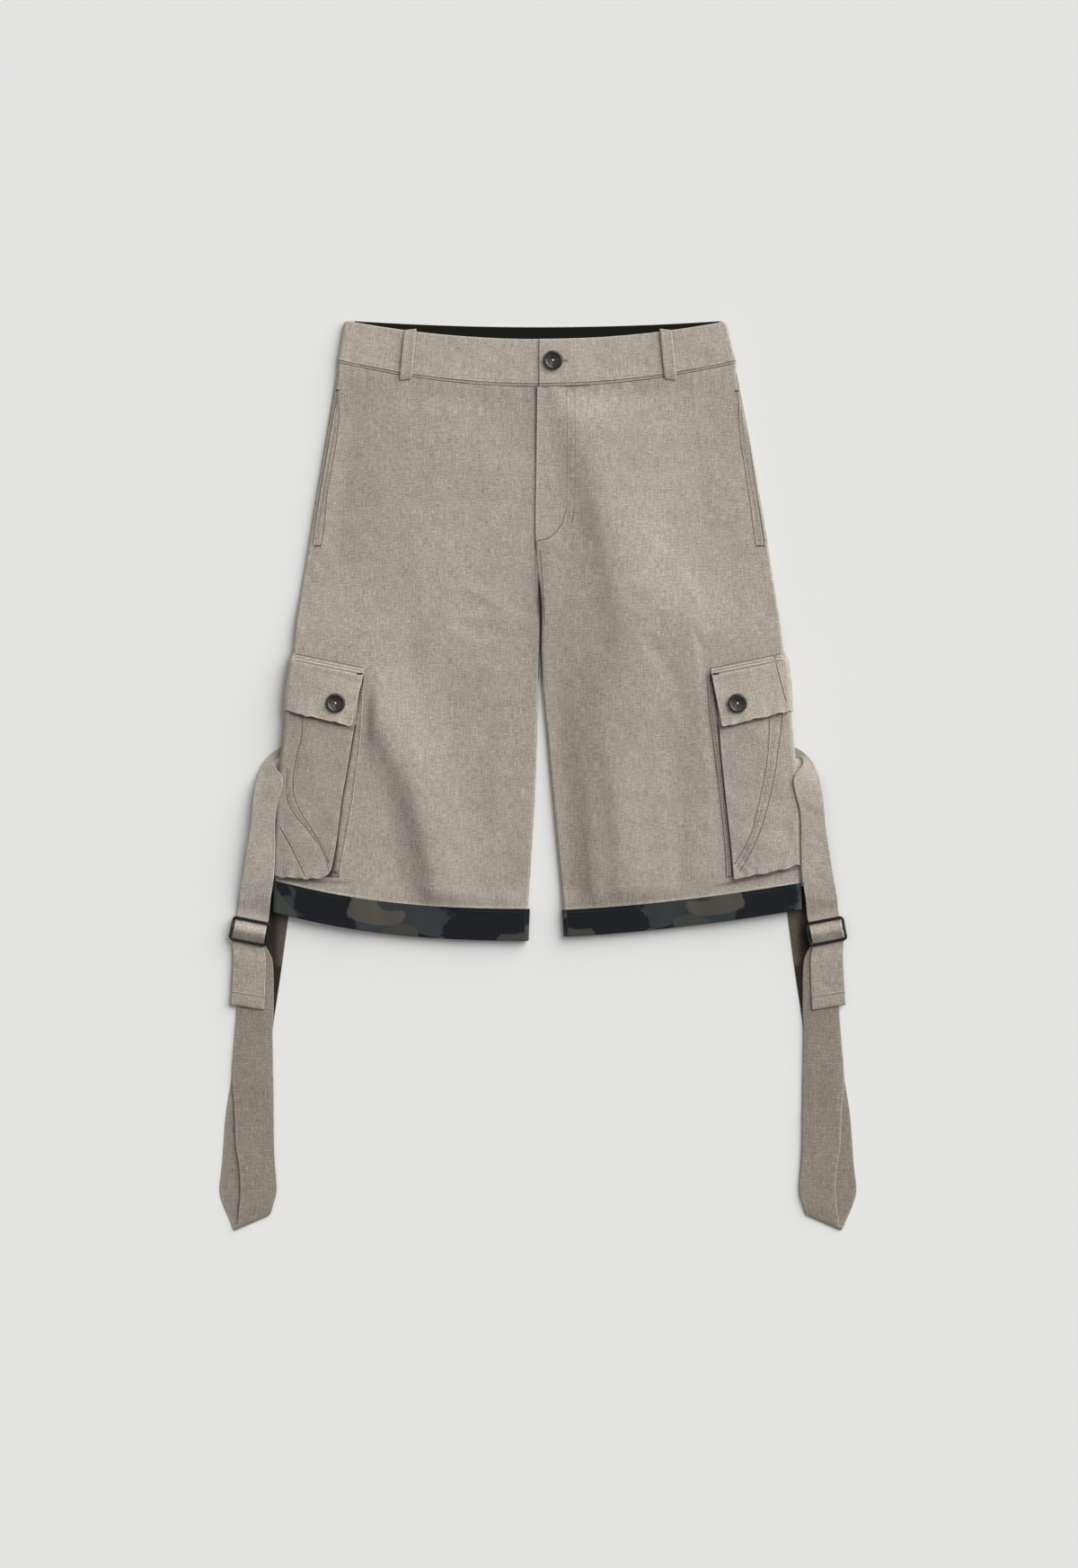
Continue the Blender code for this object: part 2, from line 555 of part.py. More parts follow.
# ---------------------------------------------------------------- cargo pockets
BAG_OUT = np.array([GUSSET_RISE + CLOTH, 1.2 + CLOTH, GAP + CLOTH])     # on top, at the side, below
FLAP_OUT = BAG_OUT + GAP + FLAP
FLAP_TOP_OUT = np.array([GAP + FLAP + 0.2, 2.4, FLAP_OUT[2]])
FLAP_ROWS = ((0.0, 0.0), (0.07, 0.55), (0.18, 1.0), (0.45, 1.0), (0.72, 1.0), (1.0, 1.0))


def cargo_bag(side):
    layers = []
    for depth in (0.0, CLOTH):
        lines = []
        for share in np.linspace(0.0, 1.0, 6):
            def height(u, share=share):
                return on_edge(BAG_TOP, u) * (1.0 - share) + on_edge(BAG_BOTTOM[side], u) * share
            y = BAG_TOP.inner_y * (1.0 - share) + BAG_BOTTOM[side].inner_y * share
            u_back = outer_edge(side, height(245.0)) - BAG_BACK
            lines.append(wrap_line(side, height, column(CARGO[side], "bag", y), u_back, BAG_OUT - depth, 4))
        layers.append(lines)
    cloth("cargo_bag_" + SIDE_NAME[side], layers[0], layers[1], side)


def cargo_flap(side):
    """The flap is sewn to the leg above the mouth of the bag and lies over it, round to the back."""
    layers = []
    for depth in (0.0, FLAP):
        lines = []
        for share, raised in FLAP_ROWS:
            def height(u, share=share):
                return on_edge(FLAP_TOP, u) * (1.0 - share) + on_edge(FLAP_BOTTOM, u) * share
            y = FLAP_TOP.inner_y * (1.0 - share) + FLAP_BOTTOM.inner_y * share
            u_back = outer_edge(side, height(245.0)) - BAG_BACK
            out = FLAP_TOP_OUT * (1.0 - raised) + FLAP_OUT * raised - depth
            lines.append(wrap_line(side, height, column(CARGO[side], "flap", y), u_back, out, 4))
        layers.append(lines)
    cloth("cargo_flap_" + SIDE_NAME[side], layers[0], layers[1], side)


def cargo_gusset(side):
    """The gusset lies folded on the leg: it shows along the inner edge of the bag and turns under it."""
    under = 12.0
    outer, inner = [], []
    for y in (98.0, 62.0, 24.0, -25.0, -69.0, -88.0):
        outer.append((column(CARGO[side], "gusset", y), y))
        inner.append((column(CARGO[side], "bag", y) + under, y))
    corner_y = BAG_BOTTOM[side].inner_y
    outer.append((column(CARGO[side], "gusset", corner_y), corner_y - 1.0))
    inner.append((column(CARGO[side], "bag", corner_y) + under, corner_y + under))
    for u in (216.0, 234.0, 247.0):
        bottom = on_edge(BAG_BOTTOM[side], u)
        outer.append((u, bottom + 1.0))
        inner.append((u, bottom + 1.0 + under))
    edges = np.array([outer, inner]).transpose(1, 0, 2)
    middle = edges.mean(axis=1, keepdims=True)
    flat = np.concatenate([edges[:, :1], middle, edges[:, 1:]], axis=1)
    z = front_top(side, flat[..., 0], flat[..., 1]) + GAP
    bottom = np.concatenate([flat, z[..., None]], axis=2)
    cloth("cargo_gusset_" + SIDE_NAME[side], bottom, bottom + (0, 0, CLOTH), side)


# ---------------------------------------------------------------- side straps and buckles
def stack_top(side, u, y):
    """Upper face of whatever lies highest on the leg, rounded off over the side edge."""
    on_bag = y > on_edge(BAG_BOTTOM[side], u) - 4.0
    radius = np.where(on_bag, HALF_LEG + (BAG_OUT[0] + BAG_OUT[2]) / 2, HALF_LEG + GAP + CLOTH)
    reach = np.where(on_bag, BAG_OUT[1], GAP + CLOTH)
    above = np.where(on_bag, BAG_OUT[0], GAP + CLOTH)
    centre = outer_edge(side, y) + reach - radius
    off = np.maximum(u - centre, 0.0)
    top = back_lift(side, np.minimum(u, centre), y) + LEG_THICK + above
    rounded = top - radius + np.sqrt(np.maximum(radius ** 2 - off ** 2, 0.0))
    top = np.where(off > 0.0, rounded, top + np.where(on_bag, puff(side, u, y), 0.0))
    return np.where(off > radius, 0.0, top)


ACROSS = 5                # points across the upper strap, which bends over the pocket
LOWER_ACROSS = 3
OVER_EDGE = 2.3           # a strap keeps this clear of the round edge that it passes over


def section(row, side=None, across=ACROSS):
    """Points across one section of a strap; with a side, it lies over what is on the leg."""
    outer = np.array([row.outer_u, row.outer_y, row.outer_z])
    inner = np.array([row.inner_u, row.inner_y, row.inner_z])
    if side:
        inner[2] = max(inner[2], stack_top(side, inner[0], inner[1]) + OVER_EDGE)
    share = np.linspace(0.0, 1.0, across)[:, None]
    line = outer * (1.0 - share) + inner * share
    if side:
        line[:, 2] = np.maximum(line[:, 2], stack_top(side, line[:, 0], line[:, 1]) + OVER_EDGE)
    return line


def in_buckle(along, z, across=ACROSS):
    """A section through the buckle, `along` millimetres below its middle."""
    bar = np.array([np.cos(BUCKLE_TILT), np.sin(BUCKLE_TILT)])
    down = np.array([bar[1], -bar[0]])
    middle = np.array([BUCKLE_U, BUCKLE_Y]) + down * along
    outer = middle + bar * STRAP_IN_BUCKLE / 2
    inner = middle - bar * STRAP_IN_BUCKLE / 2
    return section(Strap(outer[0], outer[1], z, inner[0], inner[1], z), None, across)


BAR = BUCKLE_HEIGHT / 2 - WIRE
UNDER_BAR = WIRE + GAP + STRAP_WALL
OVER_HOOK = WIRE + GAP + STRAP_WALL + GAP


def round_bar(middle, radius, start, stop, count):
    """Points of an arc round a bar of the buckle, as distances below its middle and heights."""
    angle = np.radians(np.linspace(start, stop, count))
    return [(middle + radius * np.cos(a), BUCKLE_Z + radius * np.sin(a)) for a in angle]


def upper_strap(side):
    """Sewn on at the side, over the pocket's edge, under, over and under the bars, and down."""
    lean = np.degrees(np.arcsin((UNDER_BAR + OVER_HOOK) / BAR))
    weave = (round_bar(-BAR, UNDER_BAR, -90.0, -90.0 + lean, 3)
             + round_bar(0.0, OVER_HOOK, 90.0 + 90.0 - lean, 90.0 - 90.0 + lean, 5)
             + round_bar(BAR, UNDER_BAR, -90.0 - lean, -90.0, 3))
    rows = [section(row) for row in UPPER_STRAP[:4]]
    rows += [section(row, side) for row in UPPER_STRAP[4:]]
    rows += [in_buckle(-BAR - 8.0, 2.9)]
    rows += [in_buckle(along, z) for along, z in weave]
    rows += [section(row) for row in STRAP_END]
    grid = np.array(rows)
    top = moved_out(grid, STRAP_WALL)
    if (top - grid)[..., 2].mean() < 0.0:
        top = moved_out(grid, -STRAP_WALL)
    cloth("strap_upper_" + SIDE_NAME[side], grid, top, side)


def lower_strap(side):
    """Hooked round the middle bar, down to a folded tip, and back up beneath the leg to its hem."""
    hook = round_bar(0.0, WIRE + GAP, -300.0, -82.0, 7)
    rows = [in_buckle(along, z, LOWER_ACROSS) for along, z in hook]
    rows += [in_buckle(BAR - 2.0, 3.62, LOWER_ACROSS)]
    rows += [section(row, None, LOWER_ACROSS) for row in LOWER_FRONT + (STRAP_FOLD,) + LOWER_BACK]
    grid = np.array(rows)
    inside = moved_out(grid, STRAP_WALL)
    front_rows = slice(len(hook) + 3, len(hook) + 8)
    if (inside - grid)[front_rows, :, 2].mean() > 0.0:
        inside = moved_out(grid, -STRAP_WALL)
    cloth("strap_lower_" + SIDE_NAME[side], grid, inside, side)


def buckle(side):
    """A rounded frame of wire with a middle bar, welded into one body."""
    sides, corner_steps = 8, 3
    half_w = BUCKLE_WIDTH / 2 - WIRE - BUCKLE_CORNER
    half_h = BUCKLE_HEIGHT / 2 - WIRE - BUCKLE_CORNER
    path = []
    for quarter, (cx, cy) in enumerate(((1, 1), (-1, 1), (-1, -1), (1, -1))):
        for a in np.linspace(quarter, quarter + 1, corner_steps + 1) * np.pi / 2:
            path.append((cx * half_w, cy * half_h, np.cos(a), np.sin(a)))
    turn = np.linspace(0.0, 2 * np.pi, sides, endpoint=False)
    ring = []
    for x, y, nx, ny in path:
        reach = BUCKLE_CORNER + WIRE * np.cos(turn)
        ring.append(np.stack([x + nx * reach, y + ny * reach, WIRE * np.sin(turn)], axis=1))
    ring = np.array(ring)
    bar_x = BUCKLE_WIDTH / 2 - WIRE
    bar = np.array([np.stack([np.full(sides, x), (WIRE - 0.1) * np.cos(turn), (WIRE - 0.1) * np.sin(turn)],
                             axis=1) for x in (-bar_x, bar_x)])
    name = "buckle_" + SIDE_NAME[side]
    look = ("black_metal", BLACK_METAL, 0.35, 0.6)
    frame = add_object(name, placed(ring), tube_faces(len(path), sides, closed=True), side, look)
    middle = add_object(name + "_bar", placed(bar), tube_faces(2, sides, closed=False), side, look)
    middle.hide_render = True
    middle.display_type = "WIRE"
    weld = frame.modifiers.new("weld", "BOOLEAN")
    weld.operation = "UNION"
    weld.object = middle


def placed(points):
    """Points of the buckle turned by its tilt and moved to its place."""
    points = points.reshape(-1, 3)
    cos, sin = np.cos(BUCKLE_TILT), np.sin(BUCKLE_TILT)
    u = BUCKLE_U + points[:, 0] * cos - points[:, 1] * sin
    y = BUCKLE_Y + points[:, 0] * sin + points[:, 1] * cos
    return np.stack([u, y, BUCKLE_Z + points[:, 2]], axis=1)


def tube_faces(count, sides, closed):
    faces = []
    for i in range(count if closed else count - 1):
        for j in range(sides):
            a, b = i * sides, (i + 1) % count * sides
            k = (j + 1) % sides
            faces.append((a + j, a + k, b + k, b + j))
    if not closed:
        faces.append(tuple(range(sides)))
        faces.append(tuple(range((count - 1) * sides, count * sides)))
    return faces


# ---------------------------------------------------------------- belt loops and buttons
def belt_loop(name, side, middle, z, arch):
    """A folded strip across the waistband, sewn down at both ends."""
    rows = []
    for share in np.linspace(0.0, 1.0, 7):
        u = middle.inner_u * (1.0 - share) + middle.outer_u * share
        y = middle.inner_y * (1.0 - share) + middle.outer_y * share
        height = z + arch * smooth(share / 0.15) * smooth((1.0 - share) / 0.15)
        rows.append([(u - LOOP_WIDTH / 2, y, height), (u + LOOP_WIDTH / 2, y, height)])
    bottom = np.array(rows)
    wall = LOOP_WALL if arch else CLOTH
    cloth("belt_loop_" + name, bottom, bottom + (0, 0, wall), side)


def belt_loops():
    on_front = WAIST_LIFT + LEG_THICK + GAP
    for side in (RIGHT, LEFT):
        belt_loop("front_" + SIDE_NAME[side], side, FRONT_LOOP, on_front, LOOP_ARCH)
        belt_loop("back_" + SIDE_NAME[side], side, back_loop(BACK_LOOP_U), 0.0, 0.0)
    belt_loop("back_centre", LEFT, back_loop(0.0), 0.0, 0.0)


def back_loop(u):
    top = waist_curve(WAIST_BACK_TOP, WAIST_SIDE_TOP, u) - 1.0
    seam = waist_curve(BACK_SEAM, WAIST_SIDE_SEAM, u) - 4.0
    return Edge(u, top, u, seam)


ButtonRing = namedtuple("ButtonRing", "radius z")
BUTTON_PROFILE = (        # from the middle of the underside round the rim to the dished middle
    ButtonRing(0.0, 0.0), ButtonRing(7.4, 0.0), ButtonRing(9.1, 0.7), ButtonRing(BUTTON_RADIUS, 1.7),
    ButtonRing(9.0, 2.7), ButtonRing(8.0, BUTTON_THICK), ButtonRing(6.9, 3.0), ButtonRing(5.6, 2.1),
    ButtonRing(2.5, 1.9), ButtonRing(0.0, 1.9),
)


def button(name, side, place, seat):
    sides = 24
    turn = np.linspace(0.0, 2 * np.pi, sides, endpoint=False)
    rings = BUTTON_PROFILE[1:-1]
    points = [(place[0] + ring.radius * np.cos(a), place[1] + ring.radius * np.sin(a), seat + ring.z)
              for ring in rings for a in turn]
    add_object(name, points, tube_faces(len(rings), sides, closed=False), side, ("horn", HORN, 0.4))


def buttons():
    button("button_waist", LEFT, WAIST_BUTTON, WAIST_LIFT + LEG_THICK + BAND + 2 * GAP)
    turn = np.linspace(0.0, 2 * np.pi, 12, endpoint=False)
    for side in (RIGHT, LEFT):
        u, y = POCKET_BUTTON[side]
        around_u = u + BUTTON_RADIUS * np.cos(turn)
        around_y = y + BUTTON_RADIUS * np.sin(turn)
        flap = front_top(side, around_u, around_y) + puff(side, around_u, around_y) + FLAP_OUT[0]
        button("button_pocket_" + SIDE_NAME[side], side, (u, y), flap.max() + GAP)


# ---------------------------------------------------------------- the garment
for old in list(bpy.data.objects):
    bpy.data.objects.remove(old, do_unlink=True)

for wearer_side in (RIGHT, LEFT):
    leg_panels(wearer_side)
    hem_band(wearer_side)
    waistband(wearer_side)
    side_pocket(wearer_side)
    cargo_gusset(wearer_side)
    cargo_bag(wearer_side)
    cargo_flap(wearer_side)
    upper_strap(wearer_side)
    lower_strap(wearer_side)
    buckle(wearer_side)
waistband_facing()
fly_layers()
belt_loops()
buttons()
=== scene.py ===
"""Cargo bermuda shorts with side straps, laid flat: their cloth, stitching, buttons and buckles.

Lengths are millimetres and are made metres when a mesh is made. Each side of the garment is worked out
in (u, y, z), with u outwards from its middle: x is -u on the wearer's right and +u on the left.
"""
from collections import namedtuple

import bpy
import numpy as np
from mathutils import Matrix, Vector


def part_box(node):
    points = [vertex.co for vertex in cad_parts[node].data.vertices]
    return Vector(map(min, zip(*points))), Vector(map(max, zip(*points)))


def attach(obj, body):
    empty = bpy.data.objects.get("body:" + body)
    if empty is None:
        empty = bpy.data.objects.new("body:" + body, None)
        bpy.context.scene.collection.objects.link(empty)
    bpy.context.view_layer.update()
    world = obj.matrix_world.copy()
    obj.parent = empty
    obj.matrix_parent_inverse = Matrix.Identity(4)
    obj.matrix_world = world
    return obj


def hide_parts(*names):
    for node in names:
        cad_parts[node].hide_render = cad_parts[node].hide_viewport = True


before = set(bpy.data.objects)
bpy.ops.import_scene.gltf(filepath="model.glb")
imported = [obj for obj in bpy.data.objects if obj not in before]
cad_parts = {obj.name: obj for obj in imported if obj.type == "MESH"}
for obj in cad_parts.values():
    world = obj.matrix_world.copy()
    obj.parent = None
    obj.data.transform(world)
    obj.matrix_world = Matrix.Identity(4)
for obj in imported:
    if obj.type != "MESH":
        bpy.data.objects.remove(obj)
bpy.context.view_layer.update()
scene = bpy.context.scene

# ---------------------------------------------------------------- table and light
# The shorts lie on a pale table and are seen from straight above. A large soft lamp stands beyond the
# waist on the wearer's left, and the white room around fills the shadows.
MM = 0.001
CAMERA_HEIGHT = 4217.0
CAMERA_LENS, CAMERA_LONG_SIDE = 100.0, 36.0
VIEW_MIDDLE = (0.9, -7.8)
TABLE, TABLE_REACH, TABLE_GRAIN = (0.80, 0.80, 0.80), 9000.0, 0.015
ROOM_LIGHT = 0.26

camera = bpy.data.objects.new("camera", bpy.data.cameras.new("camera"))
scene.collection.objects.link(camera)
camera.data.lens = CAMERA_LENS
camera.data.sensor_width = CAMERA_LONG_SIDE
camera.data.clip_end = 50.0
camera.location = (VIEW_MIDDLE[0] * MM, VIEW_MIDDLE[1] * MM, CAMERA_HEIGHT * MM)
scene.camera = camera


class Wired:
    """An output of a material's nodes. Arithmetic on it adds Math nodes, or Vector Math for vectors."""

    def __init__(self, look, socket):
        self.look, self.socket = look, socket

    def _with(self, operation, first, second):
        kind = "VectorMath" if self.socket.type in ("VECTOR", "RGBA") else "Math"
        return self.look.node(kind, {"operation": operation}, {0: first, 1: second})

    def __add__(self, other):
        return self._with("ADD", self, other)

    def __radd__(self, other):
        return self._with("ADD", other, self)

    def __sub__(self, other):
        return self._with("SUBTRACT", self, other)

    def __rsub__(self, other):
        return self._with("SUBTRACT", other, self)

    def __mul__(self, other):
        return self._with("MULTIPLY", self, other)

    def __rmul__(self, other):
        return self._with("MULTIPLY", other, self)


class Look:
    """A finish: one material, its nodes and its Principled shader."""

    def __init__(self, name, **constants):
        self.material = bpy.data.materials.new(name)
        self.material.use_nodes = True
        self.tree = self.material.node_tree
        self.shader = self.tree.nodes["Principled BSDF"]
        for socket, value in constants.items():
            self.shader.inputs[socket.replace("_", " ")].default_value = value

    def node(self, kind, settings, sockets, output=0):
        """A node of a kind, with its settings first and then the values or links of its sockets."""
        made = self.tree.nodes.new("ShaderNode" + kind)
        for name, value in settings.items():
            setattr(made, name, value)
        for name, value in sockets.items():
            self.feed(made.inputs[name], value)
        return Wired(self, made.outputs[output])

    def feed(self, socket, value):
        if isinstance(value, Wired):
            self.tree.links.new(value.socket, socket)
        elif socket.type == "RGBA":
            socket.default_value = (*value, 1.0)[:4]
        else:
            socket.default_value = value

    def place(self):
        """Where a point is on the object."""
        return self.node("TexCoord", {}, {}, 3)

    def noise(self, vector, scale, detail=2.0, roughness=0.5, distortion=0.0):
        return self.node("TexNoise", {}, {"Vector": vector, "Scale": scale, "Detail": detail,
                                          "Roughness": roughness, "Distortion": distortion})

    def between(self, value, low, high, to_low=0.0, to_high=1.0):
        """value carried from low..high to to_low..to_high, clamped, with soft ends."""
        return self.node("MapRange", {"interpolation_type": "SMOOTHSTEP"}, {
            "Value": value, "From Min": low, "From Max": high, "To Min": to_low, "To Max": to_high})

    def mix(self, factor, first, second):
        return self.node("Mix", {"data_type": "RGBA"}, {0: factor, 6: first, 7: second}, 2)

    def bump(self, height, distance, strength=1.0):
        return self.node("Bump", {}, {"Height": height, "Distance": distance, "Strength": strength})

    def finish(self, **varying):
        for socket, value in varying.items():
            self.feed(self.shader.inputs[socket.replace("_", " ")], value)
        return self.material


def placed(name, points, faces, look):
    """An object at the origin from points in metres and their faces, with its finish."""
    mesh = bpy.data.meshes.new(name)
    mesh.from_pydata(points, [], faces)
    mesh.shade_smooth()
    mesh.materials.append(look)
    made = bpy.data.objects.new(name, mesh)
    scene.collection.objects.link(made)
    return made


# A square board much larger than the shorts, matt, with a faint grain.
board = Look("matt board", Roughness=0.9)
darker, lighter = (tuple(c * share for c in TABLE) for share in (1.0 - TABLE_GRAIN, 1.0 + TABLE_GRAIN))
board.finish(Base_Color=board.mix(board.noise(board.place(), 400.0), darker, lighter))
reach = TABLE_REACH * MM
corners = [(-reach, -reach, 0.0), (reach, -reach, 0.0), (reach, reach, 0.0), (-reach, reach, 0.0)]
placed("table", corners, [(0, 1, 2, 3)], board.material)

# A low far lamp, wide enough that its shadows are soft, and a weak one on the other side.
Lamp = namedtuple("Lamp", "name x y z spread strength colour")
LAMPS = (
    Lamp("window", 1.0, 0.95, 0.84, 62.0, 3.95, (1.0, 0.99, 0.975)),
    Lamp("fill", -1.0, 0.2, 1.6, 40.0, 0.2, (0.97, 0.985, 1.0)),
)
for lamp in LAMPS:
    light = bpy.data.lights.new(lamp.name, "SUN")
    light.angle = np.radians(lamp.spread)
    light.energy = lamp.strength
    light.color = lamp.colour
    made = bpy.data.objects.new(lamp.name, light)
    made.location = (lamp.x, lamp.y, lamp.z)
    made.rotation_mode = "QUATERNION"
    made.rotation_quaternion = Vector((-lamp.x, -lamp.y, -lamp.z)).to_track_quat("-Z", "Y")
    scene.collection.objects.link(made)

room = bpy.data.worlds.new("room")
room.use_nodes = True
background = room.node_tree.nodes["Background"].inputs
background["Color"].default_value = (1.0, 1.0, 1.0, 1.0)
background["Strength"].default_value = ROOM_LIGHT
scene.world = room
scene.view_settings.view_transform = "Standard"

# ---------------------------------------------------------------- legs: fronts and backs
# Each leg is a front and a back of washed linen-look cloth, sewn together down the side and the inside
# leg and pressed flat. The fronts meet at the fly and the centre seam, and keep the folds of lying down.
RIGHT, LEFT = -1, 1
SIDE_NAME = {RIGHT: "right", LEFT: "left"}
SIDES = tuple(SIDE_NAME.items())
GAP = 0.3                                          # between pieces that are sewn together
CLOTH, FLAP_WALL, LEG_THICK = 1.2, 1.6, 5.2        # one layer, a doubled flap, a leg pressed flat
HALF_LEG = LEG_THICK / 2

# Heights of the waistband's upper edge and of its seam: front middle, back middle and at the side.
WAIST_FRONT_TOP, WAIST_BACK_TOP, WAIST_SIDE_TOP, WAIST_REACH = 422.4, 434.4, 441.2, 190.0
FRONT_SEAM, BACK_SEAM, WAIST_SIDE_SEAM = 376.5, 389.0, 399.0
WAIST_BEND, HEM_BEND, HEM_SPAN = 125.0, 130.0, 255.0
CROTCH, CROTCH_CURL = 139.6, 65.0
FLY_END, FLY_UNDERLAP, FLY_TURN, FLY_BLEND = 228.0, 8.0, 20.0, 35.0
# The back lies on the table, but rises over the waistband's underside, over the part of the cargo pocket
# that is turned beneath it and over the hem band. Each lift has its height, its ramp and the margin by
# which it is complete before the piece begins.
BAG_BACK, POCKET_TOP = 72.0, 124.0
WAIST_LIFT, SIDE_LIFT = CLOTH + GAP, CLOTH + GAP + FLAP_WALL + GAP
WAIST_RAMP, SIDE_RAMP, POCKET_RAMP, HEM_RAMP = 30.0, 45.0, 60.0, 16.0
WAIST_MARGIN, SIDE_MARGIN, POCKET_MARGIN, HEM_MARGIN = 6.0, 4.0, 2.0, 6.0

# Distance of the outer and inner folds of the legs from the middle, at each height.
LegRow = namedtuple("LegRow", "y outer_right outer_left inner_right inner_left")
LEG = (
    LegRow(400.0, 194.0, 191.4, 0.8, -0.4),
    LegRow(316.0, 207.2, 207.1, 1.8, -1.4),
    LegRow(264.0, 215.6, 215.9, 2.6, -2.2),
    LegRow(229.0, 221.2, 221.9, 2.6, -2.2),
    LegRow(208.0, 224.6, 225.0, 0.9, -0.5),
    LegRow(181.0, 229.1, 229.2, -0.9, 1.3),
    LegRow(154.0, 233.6, 233.4, -2.2, 2.7),
    LegRow(125.0, 236.1, 237.0, -1.6, 2.4),
    LegRow(90.0, 241.2, 241.3, -0.8, 3.6),
    LegRow(46.0, 244.4, 243.6, 0.6, 8.0),
    LegRow(3.0, 248.6, 248.2, 1.8, 11.8),
    LegRow(-32.0, 251.2, 250.4, 3.5, 15.2),
    LegRow(-97.0, 254.3, 252.8, 7.6, 21.4),
    LegRow(-119.0, 254.8, 253.4, 9.1, 23.6),
    LegRow(-160.0, 255.4, 254.0, 10.6, 26.6),
)
Hem = namedtuple("Hem", "lowest rise power band")
PANEL_INNER, PANEL_OUTER = 5.0, 240.0          # where a ring's height gives the folds' places
HEM = {RIGHT: Hem(lowest=-159.5, rise=27.7, power=2.5, band=31.0),
       LEFT: Hem(lowest=-156.0, rise=27.0, power=1.6, band=26.0)}
BAND_DROP = 1.5

# Folds of the fronts: soft ridges (+) and troughs (-) along a path down the leg, each with its own reach
# to the inner and to the outer side.
Fold = namedtuple("Fold", "side height inner outer path")
FOLDS = (
    Fold(RIGHT, 7.4, 36.0, 17.0, ((176.0, 104.0), (161.0, 66.0), (145.0, 38.0), (122.0, -13.0),
                                  (108.0, -54.0), (100.0, -95.0), (98.0, -200.0))),
    Fold(RIGHT, 1.8, 36.0, 36.0, ((96.0, 400.0), (104.0, 250.0), (112.0, 80.0))),
    Fold(LEFT, 5.4, 21.0, 62.0, ((30.0, 405.0), (44.0, 320.0), (62.0, 247.0), (82.0, 165.0), (88.0, 80.0))),
    Fold(LEFT, 3.4, 46.0, 46.0, ((60.0, 430.0), (98.0, 260.0), (126.0, 186.0), (146.0, 116.0))),
    Fold(LEFT, 6.6, 46.0, 66.0, ((58.0, 260.0), (66.0, 180.0), (73.0, 20.0), (78.0, -200.0))),
    Fold(LEFT, 2.4, 11.0, 26.0, ((70.0, 40.0), (78.0, -27.0), (83.0, -116.0), (84.0, -200.0))),
    Fold(LEFT, 1.0, 7.0, 12.0, ((46.0, 20.0), (52.0, -60.0), (56.0, -200.0))),
)
FOLD_EDGE, CREASE_EDGE = 34.0, 12.0             # how far in from the leg's edges they die out
POCKET_FRONT, POCKET_UPPER = 77.0, 120.0        # the part of the front that the cargo pocket covers
# Small creases of the cloth, fronts and backs alike.
CREASES = (
    Fold(RIGHT, 0.6, 4.0, 7.0, ((20.0, 150.0), (50.0, 172.0), (78.0, 186.0))),
    Fold(RIGHT, -0.5, 6.0, 6.0, ((16.0, 132.0), (92.0, 150.0))),
    Fold(RIGHT, -0.8, 8.0, 8.0, ((168.0, 380.0), (182.0, 320.0), (194.0, 240.0), (196.0, 190.0))),
    Fold(RIGHT, 0.7, 10.0, 10.0, ((60.0, 210.0), (118.0, 96.0))),
    Fold(RIGHT, 0.7, 9.0, 9.0, ((34.0, 60.0), (46.0, -60.0))),
    Fold(RIGHT, -0.6, 6.0, 6.0, ((150.0, -10.0), (128.0, -128.0))),
    Fold(RIGHT, 0.6, 9.0, 9.0, ((48.0, 340.0), (54.0, 230.0))),
    Fold(LEFT, 0.6, 7.0, 4.0, ((24.0, 168.0), (60.0, 176.0), (84.0, 196.0))),
    Fold(LEFT, -0.3, 7.0, 7.0, ((22.0, 128.0), (104.0, 134.0))),
    Fold(LEFT, -0.7, 8.0, 8.0, ((150.0, 340.0), (168.0, 205.0))),
    Fold(LEFT, -0.8, 8.0, 8.0, ((96.0, 150.0), (126.0, 100.0), (150.0, 40.0))),
    Fold(LEFT, 0.6, 10.0, 10.0, ((112.0, 60.0), (122.0, -60.0), (118.0, -130.0))),
    Fold(LEFT, -0.5, 6.0, 6.0, ((144.0, 0.0), (134.0, -128.0))),
    Fold(LEFT, 0.6, 9.0, 9.0, ((120.0, 230.0), (160.0, 150.0))),
)


def smooth(x):
    """0 below 0, 1 above 1, and an S-shaped curve between."""
    x = np.clip(x, 0.0, 1.0)
    return x * x * (3.0 - 2.0 * x)


def within(x, low, rise, high, fall):
    """1 between low and high, with an S-shaped rise and fall inside them."""
    return smooth((x - low) / rise) * smooth((high - x) / fall)


def bell(distance, width):
    """1 at distance 0, falling away on both sides as a bell of this width."""
    return np.exp(-(distance / width) ** 2)


def fading(distance, reach):
    """1 at distance 0, and less by a factor of e at each reach further."""
    return np.exp(-distance / reach)


def column(rows, name, y):
    """Value of a table's column at height y, straight between its rows."""
    rows = sorted(rows, key=lambda row: row.y)
    return np.interp(y, [row.y for row in rows], [getattr(row, name) for row in rows])


def outer_edge(side, y):
    return column(LEG, "outer_" + SIDE_NAME[side], y)


def inner_edge(side, y):
    return column(LEG, "inner_" + SIDE_NAME[side], y)


def waist_curve(centre, at_side, u):
    """A waist line that is lowest in the middle and rises to the side as the square of u."""
    return centre + (at_side - centre) * (u / WAIST_REACH) ** 2


def front_seam(u):
    return waist_curve(FRONT_SEAM, WAIST_SIDE_SEAM, u)


def back_seam(u):
    return waist_curve(BACK_SEAM, WAIST_SIDE_SEAM, u)


def hem_line(side, u):
    """Height of the lower edge of the hem band, which rises to the side as a power of u."""
    hem = HEM[side]
    return hem.lowest + hem.rise * np.clip(u / HEM_SPAN, 0.0, 1.1) ** hem.power


